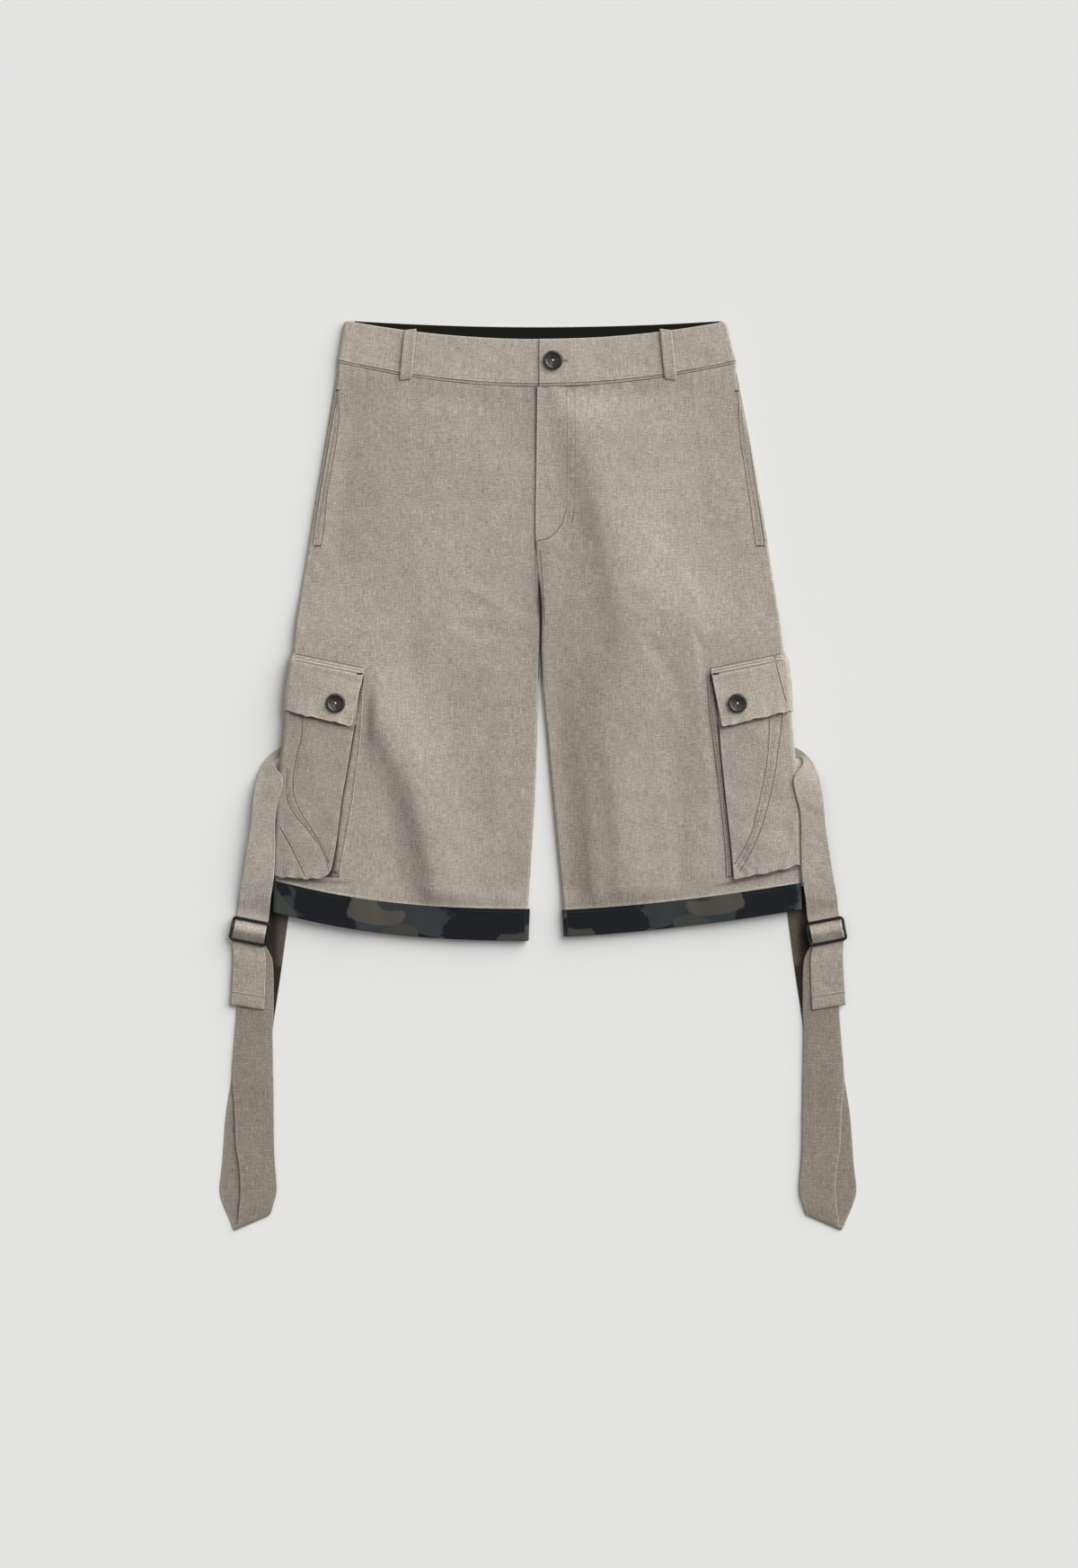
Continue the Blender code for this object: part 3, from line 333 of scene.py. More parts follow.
def ring_height(side, ring, u, seam):
    """Height at u of a ring round the leg: level in its middle, bent with the waist and the hem."""
    at_waist = smooth((ring - FRONT_SEAM + WAIST_BEND) / WAIST_BEND)
    at_hem = smooth((HEM[side].lowest + HEM_BEND - ring) / HEM_BEND)
    waist = waist_curve(seam, WAIST_SIDE_SEAM, u) - FRONT_SEAM - GAP
    return ring + waist * at_waist + (hem_line(side, u) - HEM[side].lowest) * at_hem


def back_lift(side, u, y):
    """Height of the underside of the back: the greatest of its lifts."""
    waist = WAIST_LIFT * smooth((y - back_seam(u) + WAIST_RAMP + WAIST_MARGIN) / WAIST_RAMP)
    inwards = outer_edge(side, y) - BAG_BACK - SIDE_MARGIN - u
    above_pocket = y - POCKET_TOP - POCKET_MARGIN
    pocket = SIDE_LIFT * smooth(1.0 - inwards / SIDE_RAMP) * smooth(1.0 - above_pocket / POCKET_RAMP)
    above_hem = y - hem_line(side, u) - HEM[side].band - HEM_MARGIN
    hem = (CLOTH + GAP) * smooth(1.0 - above_hem / HEM_RAMP)
    return np.maximum(np.maximum(waist, pocket), hem)


def beside(u, y, path):
    """Distance of points from a path, positive on its outer side, and how far along it the nearest is."""
    path = np.asarray(path)
    start, step = path[:-1], np.diff(path, axis=0)
    length = np.hypot(*step.T)
    away_u, away_y = u[..., None] - start[:, 0], y[..., None] - start[:, 1]
    share = np.clip((away_u * step[:, 0] + away_y * step[:, 1]) / length ** 2, 0.0, 1.0)
    distance = np.hypot(away_u - share * step[:, 0], away_y - share * step[:, 1])
    outside = np.sign(step[:, 0] * away_y - step[:, 1] * away_u)
    run = (np.cumsum(length) - length + share * length) / length.sum()
    nearest = distance.argmin(axis=-1)[..., None]
    off, run = (np.take_along_axis(values, nearest, -1)[..., 0] for values in (distance * outside, run))
    return off, run


def folded(folds, side, u, y):
    """Sum of folds: each is a bell across its path, faded in and out along it."""
    u, y = np.broadcast_arrays(u, y)
    total = np.zeros(u.shape)
    for fold in folds:
        if fold.side == side:
            off, run = beside(u, y, fold.path)
            width = np.where(off > 0.0, fold.outer, fold.inner)
            total = total + fold.height * bell(off, width) * within(run, 0.0, 0.25, 1.0, 0.25)
    return total


def rumple(u, y, shortest, longest, seed):
    """Uneven cloth: plane waves of many directions and lengths, added up and scaled to about 1."""
    rng, count = np.random.default_rng(seed), 14
    length = shortest * (longest / shortest) ** rng.random(count)
    angle, phase = rng.random(count) * np.pi, rng.random(count) * 2 * np.pi
    total = np.zeros(np.broadcast(u, y).shape)
    for wave, turn, start in zip(length, angle, phase):
        total = total + np.sin(2 * np.pi * (u * np.cos(turn) + y * np.sin(turn)) / wave + start)
    return total / np.sqrt(count)


def fold_height(side, u, y):
    """Folds of the front. They die out at the edges of the leg and under the cargo pocket."""
    to_edge = np.minimum(outer_edge(side, y) - u, u - inner_edge(side, y))
    off_pocket = smooth(np.maximum((outer_edge(side, y) - POCKET_FRONT - u) / 10.0,
                                   (y - POCKET_UPPER) / 24.0))
    off_hem = smooth((y - hem_line(side, u) - HEM[side].band + 4.0) / 24.0)
    from_waist = front_seam(u) - y
    off_waist = smooth((from_waist - 3.0) / 30.0)
    height = folded(FOLDS, side, u, y) * smooth(to_edge / FOLD_EDGE) * off_pocket * off_hem * off_waist
    puckers = 0.35 * rumple(side * u, 0.12 * y, 7.0, 16.0, 9) * fading(np.maximum(from_waist, 0.0), 16.0)
    small = folded(CREASES, side, u, y) + 0.22 * rumple(side * u, y, 18.0, 60.0, 7) + puckers
    return height + small * smooth(to_edge / CREASE_EDGE) * off_pocket * off_hem


def front_top(side, u, y):
    """Height of the outer face of the front."""
    top = back_lift(side, u, y) + LEG_THICK + fold_height(side, u, y)
    if side == LEFT:
        over_fly = smooth((y - FLY_END) / FLY_TURN + 1.0)
        over_fly = over_fly * (1.0 - smooth((u - FLY_UNDERLAP - 3.0) / FLY_BLEND))
        top = top + (CLOTH + GAP) * over_fly
    return top


def spaced(start, stop, step, fine=(0.0, 0.5, 1.2, 2.2, 3.6)):
    """Places from start to stop, about `step` apart, and closer at both ends where edges turn over."""
    ends = np.array(fine) * np.sign(stop - start)
    middle = np.linspace(start + ends[-1], stop - ends[-1], int(abs(stop - start) / step))
    return np.concatenate([start + ends[:-1], middle, (stop - ends[:-1])[::-1]])


def shared(length, step, fine=(0.0, 0.5, 1.2, 2.2, 3.6)):
    """Places along a length, as shares of it, spaced as above."""
    return spaced(0.0, length, step, fine) / length


def joined(*parts):
    """Points from their coordinates, each spread to the same shape."""
    return np.stack(np.broadcast_arrays(*parts), axis=-1)


def panel(side, front, rings, shares):
    """A front or back as a grid: rings down the leg, columns from its inner to its outer fold.

    Between the quarter circles of its folds it lies on what is beneath it. Above the crotch the inner
    fold opens out until it is flat, and the right front reaches under the left one along the fly.
    """
    seam, ring = FRONT_SEAM if front else BACK_SEAM, rings[:, None]
    y_out, y_in = (ring_height(side, ring, u, seam) for u in (PANEL_OUTER, PANEL_INNER))
    u_out, u_in = outer_edge(side, y_out), inner_edge(side, y_in)
    if front and side == RIGHT:
        u_in = u_in - (FLY_UNDERLAP + u_in) * smooth((ring - FLY_END - 4.0) / 12.0)
    turn = smooth((CROTCH + CROTCH_CURL - y_in) / CROTCH_CURL)
    angle = np.linspace(0.0, np.pi / 2, 6)[None, :]
    flat = (u_in + HALF_LEG) + (u_out - u_in - LEG_THICK) * shares[None, 1:-1]
    u = np.concatenate([u_in + HALF_LEG * (1.0 - np.cos(angle)), flat,
                        u_out - HALF_LEG * (1.0 - np.sin(angle))], axis=1)
    half = HALF_LEG - 0.1           # so that the front and the back don't quite touch along the fold
    drop = np.concatenate([turn * half * (1.0 - np.sin(angle)), 0.0 * flat,
                           half * (1.0 - np.cos(angle)) + 0.0 * u_out], axis=1)
    y = ring_height(side, ring, u, seam)
    if front:
        z = front_top(side, u, y) - drop
    else:
        dents = np.maximum(0.5 * folded(CREASES, side, u, y) + 0.2 * rumple(u, y, 30.0, 90.0, 11), 0.0)
        z = back_lift(side, u, y) + dents * (drop == 0.0) + drop
    return joined(u, y, z)


def lengths_along(points):
    """How far along a line of points each of them is."""
    return np.concatenate([[0.0], np.cumsum(np.linalg.norm(np.diff(points, axis=0), axis=1))])


def curve_through(points, step=2.0):
    """A smooth curve through the points (Catmull-Rom), with a point about every `step` millimetres."""
    p = np.asarray(points, dtype=float)
    p = np.concatenate([2 * p[:1] - p[1:2], p, 2 * p[-1:] - p[-2:-1]])
    a, b, c, d = p[:-3], p[1:-2], p[2:-1], p[3:]
    t = np.linspace(0.0, 1.0, 16, endpoint=False)[:, None, None]
    fine = 0.5 * (2 * b + (c - a) * t + (2 * a - 5 * b + 4 * c - d) * t ** 2
                  + (3 * b - a - 3 * c + d) * t ** 3)
    fine = np.concatenate([fine.transpose(1, 0, 2).reshape(-1, p.shape[1]), p[-2:-1]])
    run = lengths_along(fine)
    places = np.linspace(0.0, run[-1], max(2, int(round(run[-1] / step)) + 1))
    return np.stack([np.interp(places, run, fine[:, k]) for k in range(p.shape[1])], axis=1)


FAR = 9.0                 # a distance from a sewn line at which the line no longer matters


def close_to(off):
    """A distance from a sewn line, signed, and a value of 1 close to that line and 0 away from it.

    The cloth's finish dents along distance 0 and darkens there with painted shade, and asks for both so
    that the change from one line to the next leaves no mark.
    """
    return np.clip(off, -FAR, FAR), 1.0 - smooth((np.abs(off) - 3.0) / 2.0)


def seam_values(u, y, lines):
    """close_to for the sewn line that is nearest to each point."""
    offs = np.stack([beside(u, y, line)[0] for line in lines])
    nearest = np.abs(offs).argmin(axis=0)[None]
    return close_to(np.take_along_axis(offs, nearest, 0)[0])


def surface(node, grid, side, look, slot="shell_cloth", wall=1.0, up=True, ring=False, grain=None,
            seams=(FAR, 0.0), edge=0.0, shade=0.0):
    """The cloth of a node from a grid of points (u, y, z), with its wall on the inner side.

    It keeps values for its finish: its thread directions in millimetres (grain), its sewn lines (seams),
    how much paler it is from wear and painted light, or darker below 0 as painted shade (edge), and how dark
    its painted shade is, 0 to 1 (shade).
    """
    rows, cols = grid.shape[:2]
    index = np.arange(rows * cols).reshape(rows, cols)
    if ring:
        index = np.concatenate([index, index[:, :1]], axis=1)
    quads = np.stack([index[:-1, :-1], index[1:, :-1], index[1:, 1:], index[:-1, 1:]], axis=2).reshape(-1, 4)
    if (side == RIGHT) == up:
        quads = quads[:, ::-1]
    points = grid.reshape(-1, 3) * (side * MM, MM, MM)
    made = placed(node + "_cloth", points.tolist(), quads.tolist(), look)
    if grain is None:
        grain = (side * grid[..., 0], grid[..., 1])
    threads = joined(*grain, grid[..., 0])[..., :2].reshape(-1, 2) * MM
    uv = made.data.uv_layers.new(name="grain")
    uv.data.foreach_set("uv", threads[quads.ravel()].astype(np.float32).ravel())
    for title, values in (("seam_off", seams[0]), ("seam_near", seams[1]), ("edge", edge), ("shade", shade)):
        kept = made.data.attributes.new(title, "FLOAT", "POINT")
        kept.data.foreach_set("value", np.broadcast_to(values, (rows, cols)).astype(np.float32).ravel())
    shell = made.modifiers.new("wall", "SOLIDIFY")
    shell.thickness, shell.offset, shell.use_rim = wall * MM, -1.0, True
    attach(made, "root")
    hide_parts(node)
    return made


LINEN = ((0.255, 0.215, 0.178), (0.385, 0.338, 0.289), (0.56, 0.51, 0.455))     # dark, middle, light
# How dark the cloth's painted shade makes it, in creases, gaps and under things.
PAINTED_SHADE_TINT = (0.075, 0.052, 0.036)
THREAD_PITCH = 0.62 * MM


def ribs(look, threads, way):
    """Ribs across the way of a thread vector: the sine of their dot product."""
    along = look.node("VectorMath", {"operation": "DOT_PRODUCT"}, {0: threads, 1: way}, 1)
    return look.node("Math", {"operation": "SINE"}, {0: along})


def linen(name, tone=1.0):
    """Plain weave of uneven yarns: light and dark slubs along both threads, clouds where it was washed.

    Each yarn is a sine across the other. Sewn lines are dents darkened with painted shade, with lips
    lightened as a painted highlight; the edge value makes the cloth paler for wear and painted light, or
    darker below 0 as painted shade, and the shade value darkens creases, gaps and undersides as painted
    shade. tone is the cloth's own lightness, or one per colour.
    """
    look = Look(name, Roughness=0.88, Sheen_Weight=0.12, Sheen_Roughness=0.6, Specular_IOR_Level=0.25)
    grain = look.node("UVMap", {"uv_map": "grain"}, {})
    weft = look.noise(grain * (170.0, 1150.0, 0.0), 1.0, 2.0, 0.6)
    warp = look.noise(grain * (1150.0, 150.0, 0.0), 1.0, 2.0, 0.6)
    long_weft = look.noise(grain * (45.0, 800.0, 0.0), 1.0, 1.0, 0.5)
    long_warp = look.noise(grain * (800.0, 38.0, 0.0), 1.0, 1.0, 0.5)
    flecks = look.noise(grain, 880.0, 2.0, 0.7)
    mottle = look.noise(grain, 190.0, 3.0, 0.65)
    clouds = look.noise(grain, 16.0, 2.0, 0.5)
    slub = ((weft - 0.5) * 1.1 + (warp - 0.5) * 0.9 + (flecks - 0.5) * 1.3
            + (long_weft - 0.5) * 0.35 + (long_warp - 0.5) * 0.45)
    off, near, worn, painted_shade = (look.node("Attribute", {"attribute_name": kept}, {}, 2)
                               for kept in ("seam_off", "seam_near", "edge", "shade"))
    away = look.node("Math", {"operation": "ABSOLUTE"}, {0: off})
    # The dark of a sewn line's dent is painted shade, and the light of its lips is a painted highlight.
    groove = look.between(away, 0.4, 1.0, 1.0, 0.0) * near
    lip = look.between(away, 1.2, 2.2, 1.0, 0.0) * look.between(away, 0.7, 1.1) * near
    value = (slub + (mottle - 0.5) * 0.1 + (clouds - 0.5) * 0.26
             - groove * 0.62 + lip * (0.12 + (warp - 0.4) * 0.4) + worn * (0.30 + (flecks - 0.5) * 0.8))
    dark, middle, light = (tuple(np.multiply(colour, tone)) for colour in LINEN)
    colour = look.mix(look.between(value, -0.42, 0.0), dark, middle)
    colour = look.mix(look.between(value, 0.0, 0.42), colour, light)
    step = 2 * np.pi / THREAD_PITCH
    yarns = ribs(look, grain, (step, 0.0, 0.0)) * ribs(look, grain, (0.0, step, 0.0))
    height = yarns * 0.10 + slub * 0.55 + mottle * 0.35 - groove * 1.8 + lip * 0.4
    # The shade value mixes the colour towards its darker painted shade.
    return look.finish(Base_Color=look.mix(painted_shade, colour, colour * PAINTED_SHADE_TINT),
                       Normal=look.bump(height, 0.35 * MM, 0.9),
                       Roughness=look.between(slub, -0.4, 0.4, 0.94, 0.80))


# Sewn lines of the fronts: the fly's two rows, the side pocket's row, and the edge of its opening.
FLY_ROW = ((27.5, 374.0), (27.5, 330.0), (27.2, 266.0), (25.4, 251.0), (19.8, 239.0), (10.5, 230.0),
           (0.0, 227.0))
FLY_ROW_2 = ((35.2, 374.0), (35.2, 330.0), (34.8, 262.0), (32.6, 246.0))
POCKET_ROW = {
    RIGHT: ((194.6, 374.0), (193.1, 346.7), (197.5, 311.0), (204.5, 272.7), (207.0, 243.0), (210.0, 223.0)),
    LEFT: ((193.0, 372.0), (194.9, 327.6), (199.7, 298.0), (205.3, 259.7), (210.0, 224.0)),
}
POCKET_SLIT = {
    RIGHT: ((194.2, 371.3), (204.2, 315.1), (213.9, 257.6), (218.5, 223.5)),
    LEFT: ((200.0, 352.0), (206.3, 306.0), (213.2, 260.7), (218.6, 225.7)),
}
# Painted light and shade of the fronts: broad pale (+) and dark (-) bands along the folds and down the legs.
PAINTED_FOLD_LIGHT = (
    Fold(LEFT, 0.42, 24.0, 32.0, ((16.0, 430.0), (34.0, 345.0), (50.0, 306.0), (84.0, 258.0),
                                  (117.0, 210.0), (150.0, 165.0), (196.0, 108.0))),
    Fold(LEFT, -0.32, 13.0, 13.0, ((26.0, 380.0), (36.0, 325.0), (50.0, 254.0), (68.0, 203.0),
                                   (78.0, 151.0), (62.0, 110.0), (46.0, 60.0))),
    Fold(LEFT, -0.55, 30.0, 26.0, ((44.0, 150.0), (46.0, 60.0), (48.0, -60.0), (50.0, -230.0))),
    Fold(RIGHT, -0.40, 12.0, 32.0, ((184.0, 150.0), (176.0, 90.0), (150.0, 32.0), (128.0, -20.0),
                                    (117.0, -64.0), (109.0, -109.0), (106.0, -230.0))),
    Fold(RIGHT, -0.30, 22.0, 22.0, ((172.0, 430.0), (168.0, 340.0), (168.0, 281.0), (182.0, 180.0))),
    Fold(RIGHT, 0.12, 22.0, 20.0, ((136.0, 150.0), (112.0, 70.0), (98.0, 36.0), (84.0, -20.0),
                                   (68.0, -130.0))),
    Fold(RIGHT, -0.30, 60.0, 50.0, ((70.0, 140.0), (56.0, 0.0), (50.0, -230.0))),
    Fold(RIGHT, -0.20, 26.0, 26.0, ((176.0, 60.0), (160.0, -60.0), (154.0, -230.0))),
    Fold(LEFT, -0.26, 70.0, 60.0, ((112.0, 140.0), (116.0, -60.0), (118.0, -230.0))),
)
# Painted shadow lines on the fronts: beside the fly's edge and under the lower edges of the cargo pockets.
PAINTED_SHADOW_LINES = (
    Fold(RIGHT, 0.55, 1.4, 1.2, ((2.2, 450.0), (2.2, 300.0), (2.4, 226.0), (2.6, 160.0))),
    Fold(RIGHT, 0.12, 9.0, 9.0, ((2.0, 480.0), (2.2, 290.0))),
    Fold(RIGHT, 0.50, 1.8, 1.8, ((172.0, -103.7), (285.0, -98.6))),
    Fold(LEFT, 0.50, 1.8, 1.8, ((156.0, -110.1), (288.0, -81.1))),
)
centre_heights = np.array([219.0, 206.0, 190.0, 172.0, 156.0, 145.0])
sewn = {
    RIGHT: [curve_through(POCKET_ROW[RIGHT])],
    LEFT: [curve_through(POCKET_ROW[LEFT]), curve_through(FLY_ROW), curve_through(FLY_ROW_2),
           joined(inner_edge(LEFT, centre_heights) + 3.2, centre_heights)],
}
# Painted light of each leg: the strength of a painted highlight along its side fold, greater on the right,
# which is turned from the light, and how far the painted shade reaches around the slit at the crotch.
LegPaintedLight = namedtuple("LegPaintedLight", "side_edge crotch_reach")
LEG_PAINTED_LIGHT = {RIGHT: LegPaintedLight(side_edge=0.7, crotch_reach=12.0), LEFT: LegPaintedLight(side_edge=0.35, crotch_reach=8.0)}


def leg_wear_and_painted_light(side, front, u, y):
    """How much paler each point of a front or back is, from wear and painted light, and how dark its painted
    shade is.

    The side edge carries a painted highlight, stronger on the right, which is turned from the light; the
    fly's edge and the lip above the hem band are pale. On the fronts, broad bands along the folds paint
    their light and shade. Painted shade darkens the slit between the legs below the crotch and the cloth
    around it, the layer within the side pocket's opening, and painted shadow lines beside the fly and under
    the cargo pockets.
    """
    from_inside, from_side = u - u[:, :1], outer_edge(side, y) - 1.0 - u
    above_band = y - hem_line(side, u) - HEM[side].band
    worn = LEG_PAINTED_LIGHT[side].side_edge * fading(np.abs(from_side), 0.9) + 1.6 * bell(above_band - 0.7, 0.9)
    # Painted shade in the slit between the legs below the crotch, and softer around it.
    slit = bell(from_inside, 1.0 + 1.5 * bell(y - 166.0, 15.0)) * within(y, 86.0, 12.0, 200.0, 18.0)
    round_slit = bell(from_inside, LEG_PAINTED_LIGHT[side].crotch_reach) * within(y, 60.0, 60.0, 250.0, 70.0)
    painted_shade = 0.92 * slit + 0.20 * round_slit
    if front:
        # Painted light and shade along the folds, and painted shadow lines.
        worn = worn + folded(PAINTED_FOLD_LIGHT, side, u, y)
        painted_shade = painted_shade + folded(PAINTED_SHADOW_LINES, side, u, y)
        # Painted shade on the layer within the side pocket's opening.
        painted_shade = painted_shade + 0.10 * within(y, 224.0, 3.0, 372.0, 3.0) * smooth((9.0 - from_side) / 1.5)
        if side == LEFT:
            fly_edge = fading(from_inside, 1.2) + 0.12 * np.exp(-(from_inside / 14.0) ** 4)
            worn = worn + smooth((y - FLY_END) / 6.0) * fly_edge
    return worn, np.clip(painted_shade, 0.0, 1.0)


sewn_cloth = linen("washed linen cloth")
for side, name in SIDES:
    for front, step in ((True, 2.1), (False, 3.6)):
        rings = spaced(FRONT_SEAM, HEM[side].lowest + BAND_DROP, step)
        grid = panel(side, front, rings, shared(PANEL_OUTER, step))
        u, y = grid[..., 0], grid[..., 1]
        worn, painted_shade = leg_wear_and_painted_light(side, front, u, y)
        seams = (FAR, 0.0)
        if front:
            off, near = seam_values(u, y, sewn[side] + [curve_through(POCKET_SLIT[side])])
            seams = off, near * (1.0 - 0.7 * smooth((y - 246.0) / 14.0) * (u < 60.0))
        cloth = surface(("front_" if front else "back_") + name, grid, side, sewn_cloth, up=front,
                        seams=seams, edge=worn, shade=painted_shade)


def rods(name, points, look):
    """Many short rods in one mesh, from points (rod, station, corner, 3) in millimetres, ends closed."""
    count, stations, corners = points.shape[:3]
    index = np.arange(count * stations * corners).reshape(count, stations, corners)
    turned = np.roll(index, -1, axis=2)
    sides = np.stack([index[:, :-1], turned[:, :-1], turned[:, 1:], index[:, 1:]], axis=3).reshape(-1, 4)
    caps = np.concatenate([index[:, 0, ::-1], index[:, -1]])
    made = placed(name, (points.reshape(-1, 3) * MM).tolist(), sides.tolist() + caps.tolist(), look)
    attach(made, "root")
    return made


def full_turn(count):
    return np.linspace(0.0, 2 * np.pi, count, endpoint=False)


# One stitch at places along it: how far the thread rises and how thick it is, in shares of its radius.
Station = namedtuple("Station", "along rise thick")
STITCH = (Station(0.0, -1.0, 0.45), Station(0.18, 0.0, 0.9), Station(0.5, 0.35, 1.0),
          Station(0.82, 0.0, 0.9), Station(1.0, -1.0, 0.45))
SUNK = -0.05                                    # thread that is pulled a little into the cloth


def thread_rods(path, pitch=3.0, radius=0.27, fill=0.78):
    """Stitches along a path of points (x, y, z): rods that rise out of the cloth and go back into it."""
    run = lengths_along(path)
    start = np.arange(int(run[-1] / pitch))[:, None] * pitch + 0.5 * (1.0 - fill) * pitch
    along, rise, thick = np.array(STITCH).T
    places = start + along * fill * pitch
    centre = np.stack([np.interp(places, run, path[:, k]) for k in range(3)], axis=2)
    centre[..., 2] += radius * rise
    way = np.gradient(centre, axis=1)[:, 2, :2]
    across = joined(way[:, 1], -way[:, 0]) / np.hypot(*way.T)[:, None]
    turn, thick = full_turn(5), radius * thick[None, :, None]
    flat = (thick * np.cos(turn))[..., None] * across[:, None, None, :]
    return centre[:, :, None, :] + joined(flat[..., 0], flat[..., 1], thick * np.sin(turn))


def stitches(name, side, lines, lift, on=front_top, look=None, **size):
    """Rows of sewing thread along lines (u, y) of one side, lifted from the face that they are sewn on.

    on gives that face's height, and is None where lift is the height itself.
    """
    rows = []
    for line in lines:
        u, y = line.T
        rows.append(thread_rods(joined(side * u, y, lift + (on(side, u, y) if on else 0.0)), **size))
    return rods(name, np.concatenate(rows), (look or thread).material)


def twisted(name, roughness, dark, light):
    """Twisted thread: light and dark strands as fine noise."""
    look = Look(name, Roughness=roughness)
    look.finish(Base_Color=look.mix(look.noise(look.place(), 1500.0), dark, light))
    return look


thread = Look("matching sewing thread", Roughness=0.6, Sheen_Weight=0.1)
uneven = thread.noise(thread.place(), 700.0, 2.0, 0.7)
thread.finish(Base_Color=thread.mix(thread.between(uneven, 0.3, 0.7), (0.33, 0.285, 0.24),
                                    (0.60, 0.545, 0.48)), Normal=thread.bump(uneven, 0.1 * MM))
tack = twisted("dark bar tack thread", 0.7, (0.012, 0.009, 0.007), (0.06, 0.05, 0.04))


def thread_bar(u, y, reach, swing=0.55, step=0.4):
    """A bar of thread that keeps the end of a row from tearing: close turns to and fro along it."""
    along = np.arange(0.0, reach, step)
    return joined(u + along, y + swing * (-1.0) ** np.arange(len(along)))


for side, name in SIDES:
    stitches("leg_stitches_" + name, side, sewn[side], SUNK)

# ---------------------------------------------------------------- waistband, facing and fly
# A waistband of doubled cloth runs from the centre front round to the centre back. The left end laps
# over the right one and buttons on it. Inside the back it is faced with dark green twill.
BAND, BAND_HEIGHT, BAND_CORNER, BAND_ROW = 1.8, 45.0, 4.5, 2.2
BUTTON_TAB, LEFT_TAB_BLEND = 32.0, 28.0
WAIST_TOP_U = {RIGHT: 187.5, LEFT: 181.8}
BAND_START = {RIGHT: -BUTTON_TAB, LEFT: 0.9}
FACING, FACING_HEIGHT = 1.0, 42.0


def rounded(distance, radius):
    """Drop of a face close to an edge that turns over as a quarter circle of this radius."""
    near = np.clip(1.0 - distance / radius, 0.0, 1.0)
    return radius * (1.0 - np.sqrt(1.0 - near ** 2))


def runs(grid):
    """Thread directions of a piece: lengths along its middle row and down its middle column."""
    middle = grid[grid.shape[0] // 2], grid[:, grid.shape[1] // 2]
    return lengths_along(middle[0])[None, :], -lengths_along(middle[1])[:, None]


def back_top(u):
    return waist_curve(WAIST_BACK_TOP, WAIST_SIDE_TOP, u)


def over_tab(side, u):
    """How far the left half of the waistband is lifted by the button tab beneath it."""
    return (BAND + GAP) * (1.0 - smooth((u - BUTTON_TAB - 2.0) / LEFT_TAB_BLEND)) * (side == LEFT)


def waistband(side, shares, front, back):
    """Half the waistband: rows from its seam to its top, columns round the side as a half circle."""
    share = shares[:, None]
    up = share * BAND_HEIGHT
    u_edge = outer_edge(side, WAIST_SIDE_SEAM) * (1.0 - share) + WAIST_TOP_U[side] * share
    centre = u_edge - HALF_LEG - rounded(BAND_HEIGHT - up, BAND_CORNER)
    angle = np.linspace(np.pi / 2, -np.pi / 2, 13)[None, :]
    u_top = BAND_START[side] + (centre - BAND_START[side]) * front[None, :-1]
    u_low = centre + (0.2 - centre) * back[None, 1:]
    ridge = 0.35 * within(up, 1.0, 2.0, 12.0, 5.0)
    half = HALF_LEG - rounded(up, 1.0) - rounded(BAND_HEIGHT - up, 1.0) + ridge
    swell = 0.22 * rumple(side * u_top, up, 14.0, 60.0, 3) * smooth(up / 4.0)
    end = rounded(u_top - BAND_START[side], 1.0)
    u = np.concatenate([u_top, centre + half * np.cos(angle), u_low], axis=1)
    z = WAIST_LIFT + HALF_LEG + np.concatenate([half + over_tab(side, u_top) - end + swell,
                                                half * np.sin(angle), 0.0 * u_low - half], axis=1)
    behind = np.concatenate([0.0 * front[:-1], np.linspace(0.0, 1.0, 13), 0.0 * back[1:] + 1.0])[None, :]
    y_front = front_seam(u) * (1.0 - share) + waist_curve(WAIST_FRONT_TOP, WAIST_SIDE_TOP, u) * share
    y_back = back_seam(u) * (1.0 - share) + back_top(u) * share
    return joined(u, y_front * (1.0 - behind) + y_back * behind, z)


band_cloth = linen("waistband cloth", tone=1.06)
for side, name in SIDES:
    shares = shared(BAND_HEIGHT, 2.0, (0.0, 0.3, 0.7, 1.2, 2.2))
    grid = waistband(side, shares, shared(190.0, 2.2), shared(185.0, 3.0))
    up = shares[:, None] * BAND_HEIGHT
    # Its top fold and its left end are pale, from wear and painted highlight.
    worn = 0.9 * fading(BAND_HEIGHT - up, 0.8) + (side == LEFT) * fading(grid[..., 0] - grid[:, :1, 0], 1.0)
    cloth = surface("waistband_" + name, grid, side, band_cloth, wall=1.5, up=False, grain=runs(grid),
                    seams=close_to(up - BAND_ROW), edge=worn)

twill = Look("dark green twill", Roughness=0.9, Specular_IOR_Level=0.08)
threads = twill.node("UVMap", {"uv_map": "grain"}, {})
wale = ribs(twill, threads, (5200.0, 5200.0, 0.0))
lint = twill.noise(threads, 300.0, 3.0, 0.7)
twill.finish(Base_Color=twill.mix(lint * 0.7 + wale * 0.12, (0.006, 0.0065, 0.0052),
                                  (0.018, 0.0195, 0.0155)), Normal=twill.bump(wale + lint, 0.12 * MM))
u = np.linspace(-WAIST_TOP_U[LEFT] + 4.0, WAIST_TOP_U[LEFT] - 4.0, 160)[None, :]
down = spaced(0.0, FACING_HEIGHT, 2.5)[:, None]
share = down / FACING_HEIGHT
y = (back_top(u) - 0.4) * (1.0 - share) + (back_seam(u) + 2.0) * share
z = WAIST_LIFT + BAND + GAP + FACING - rounded(down, 0.5) - rounded(FACING_HEIGHT - down, 0.5)
grid = joined(u, y, z)
facing = surface("waistband_facing", grid, LEFT, twill.material, "facing", wall=0.8, grain=runs(grid))

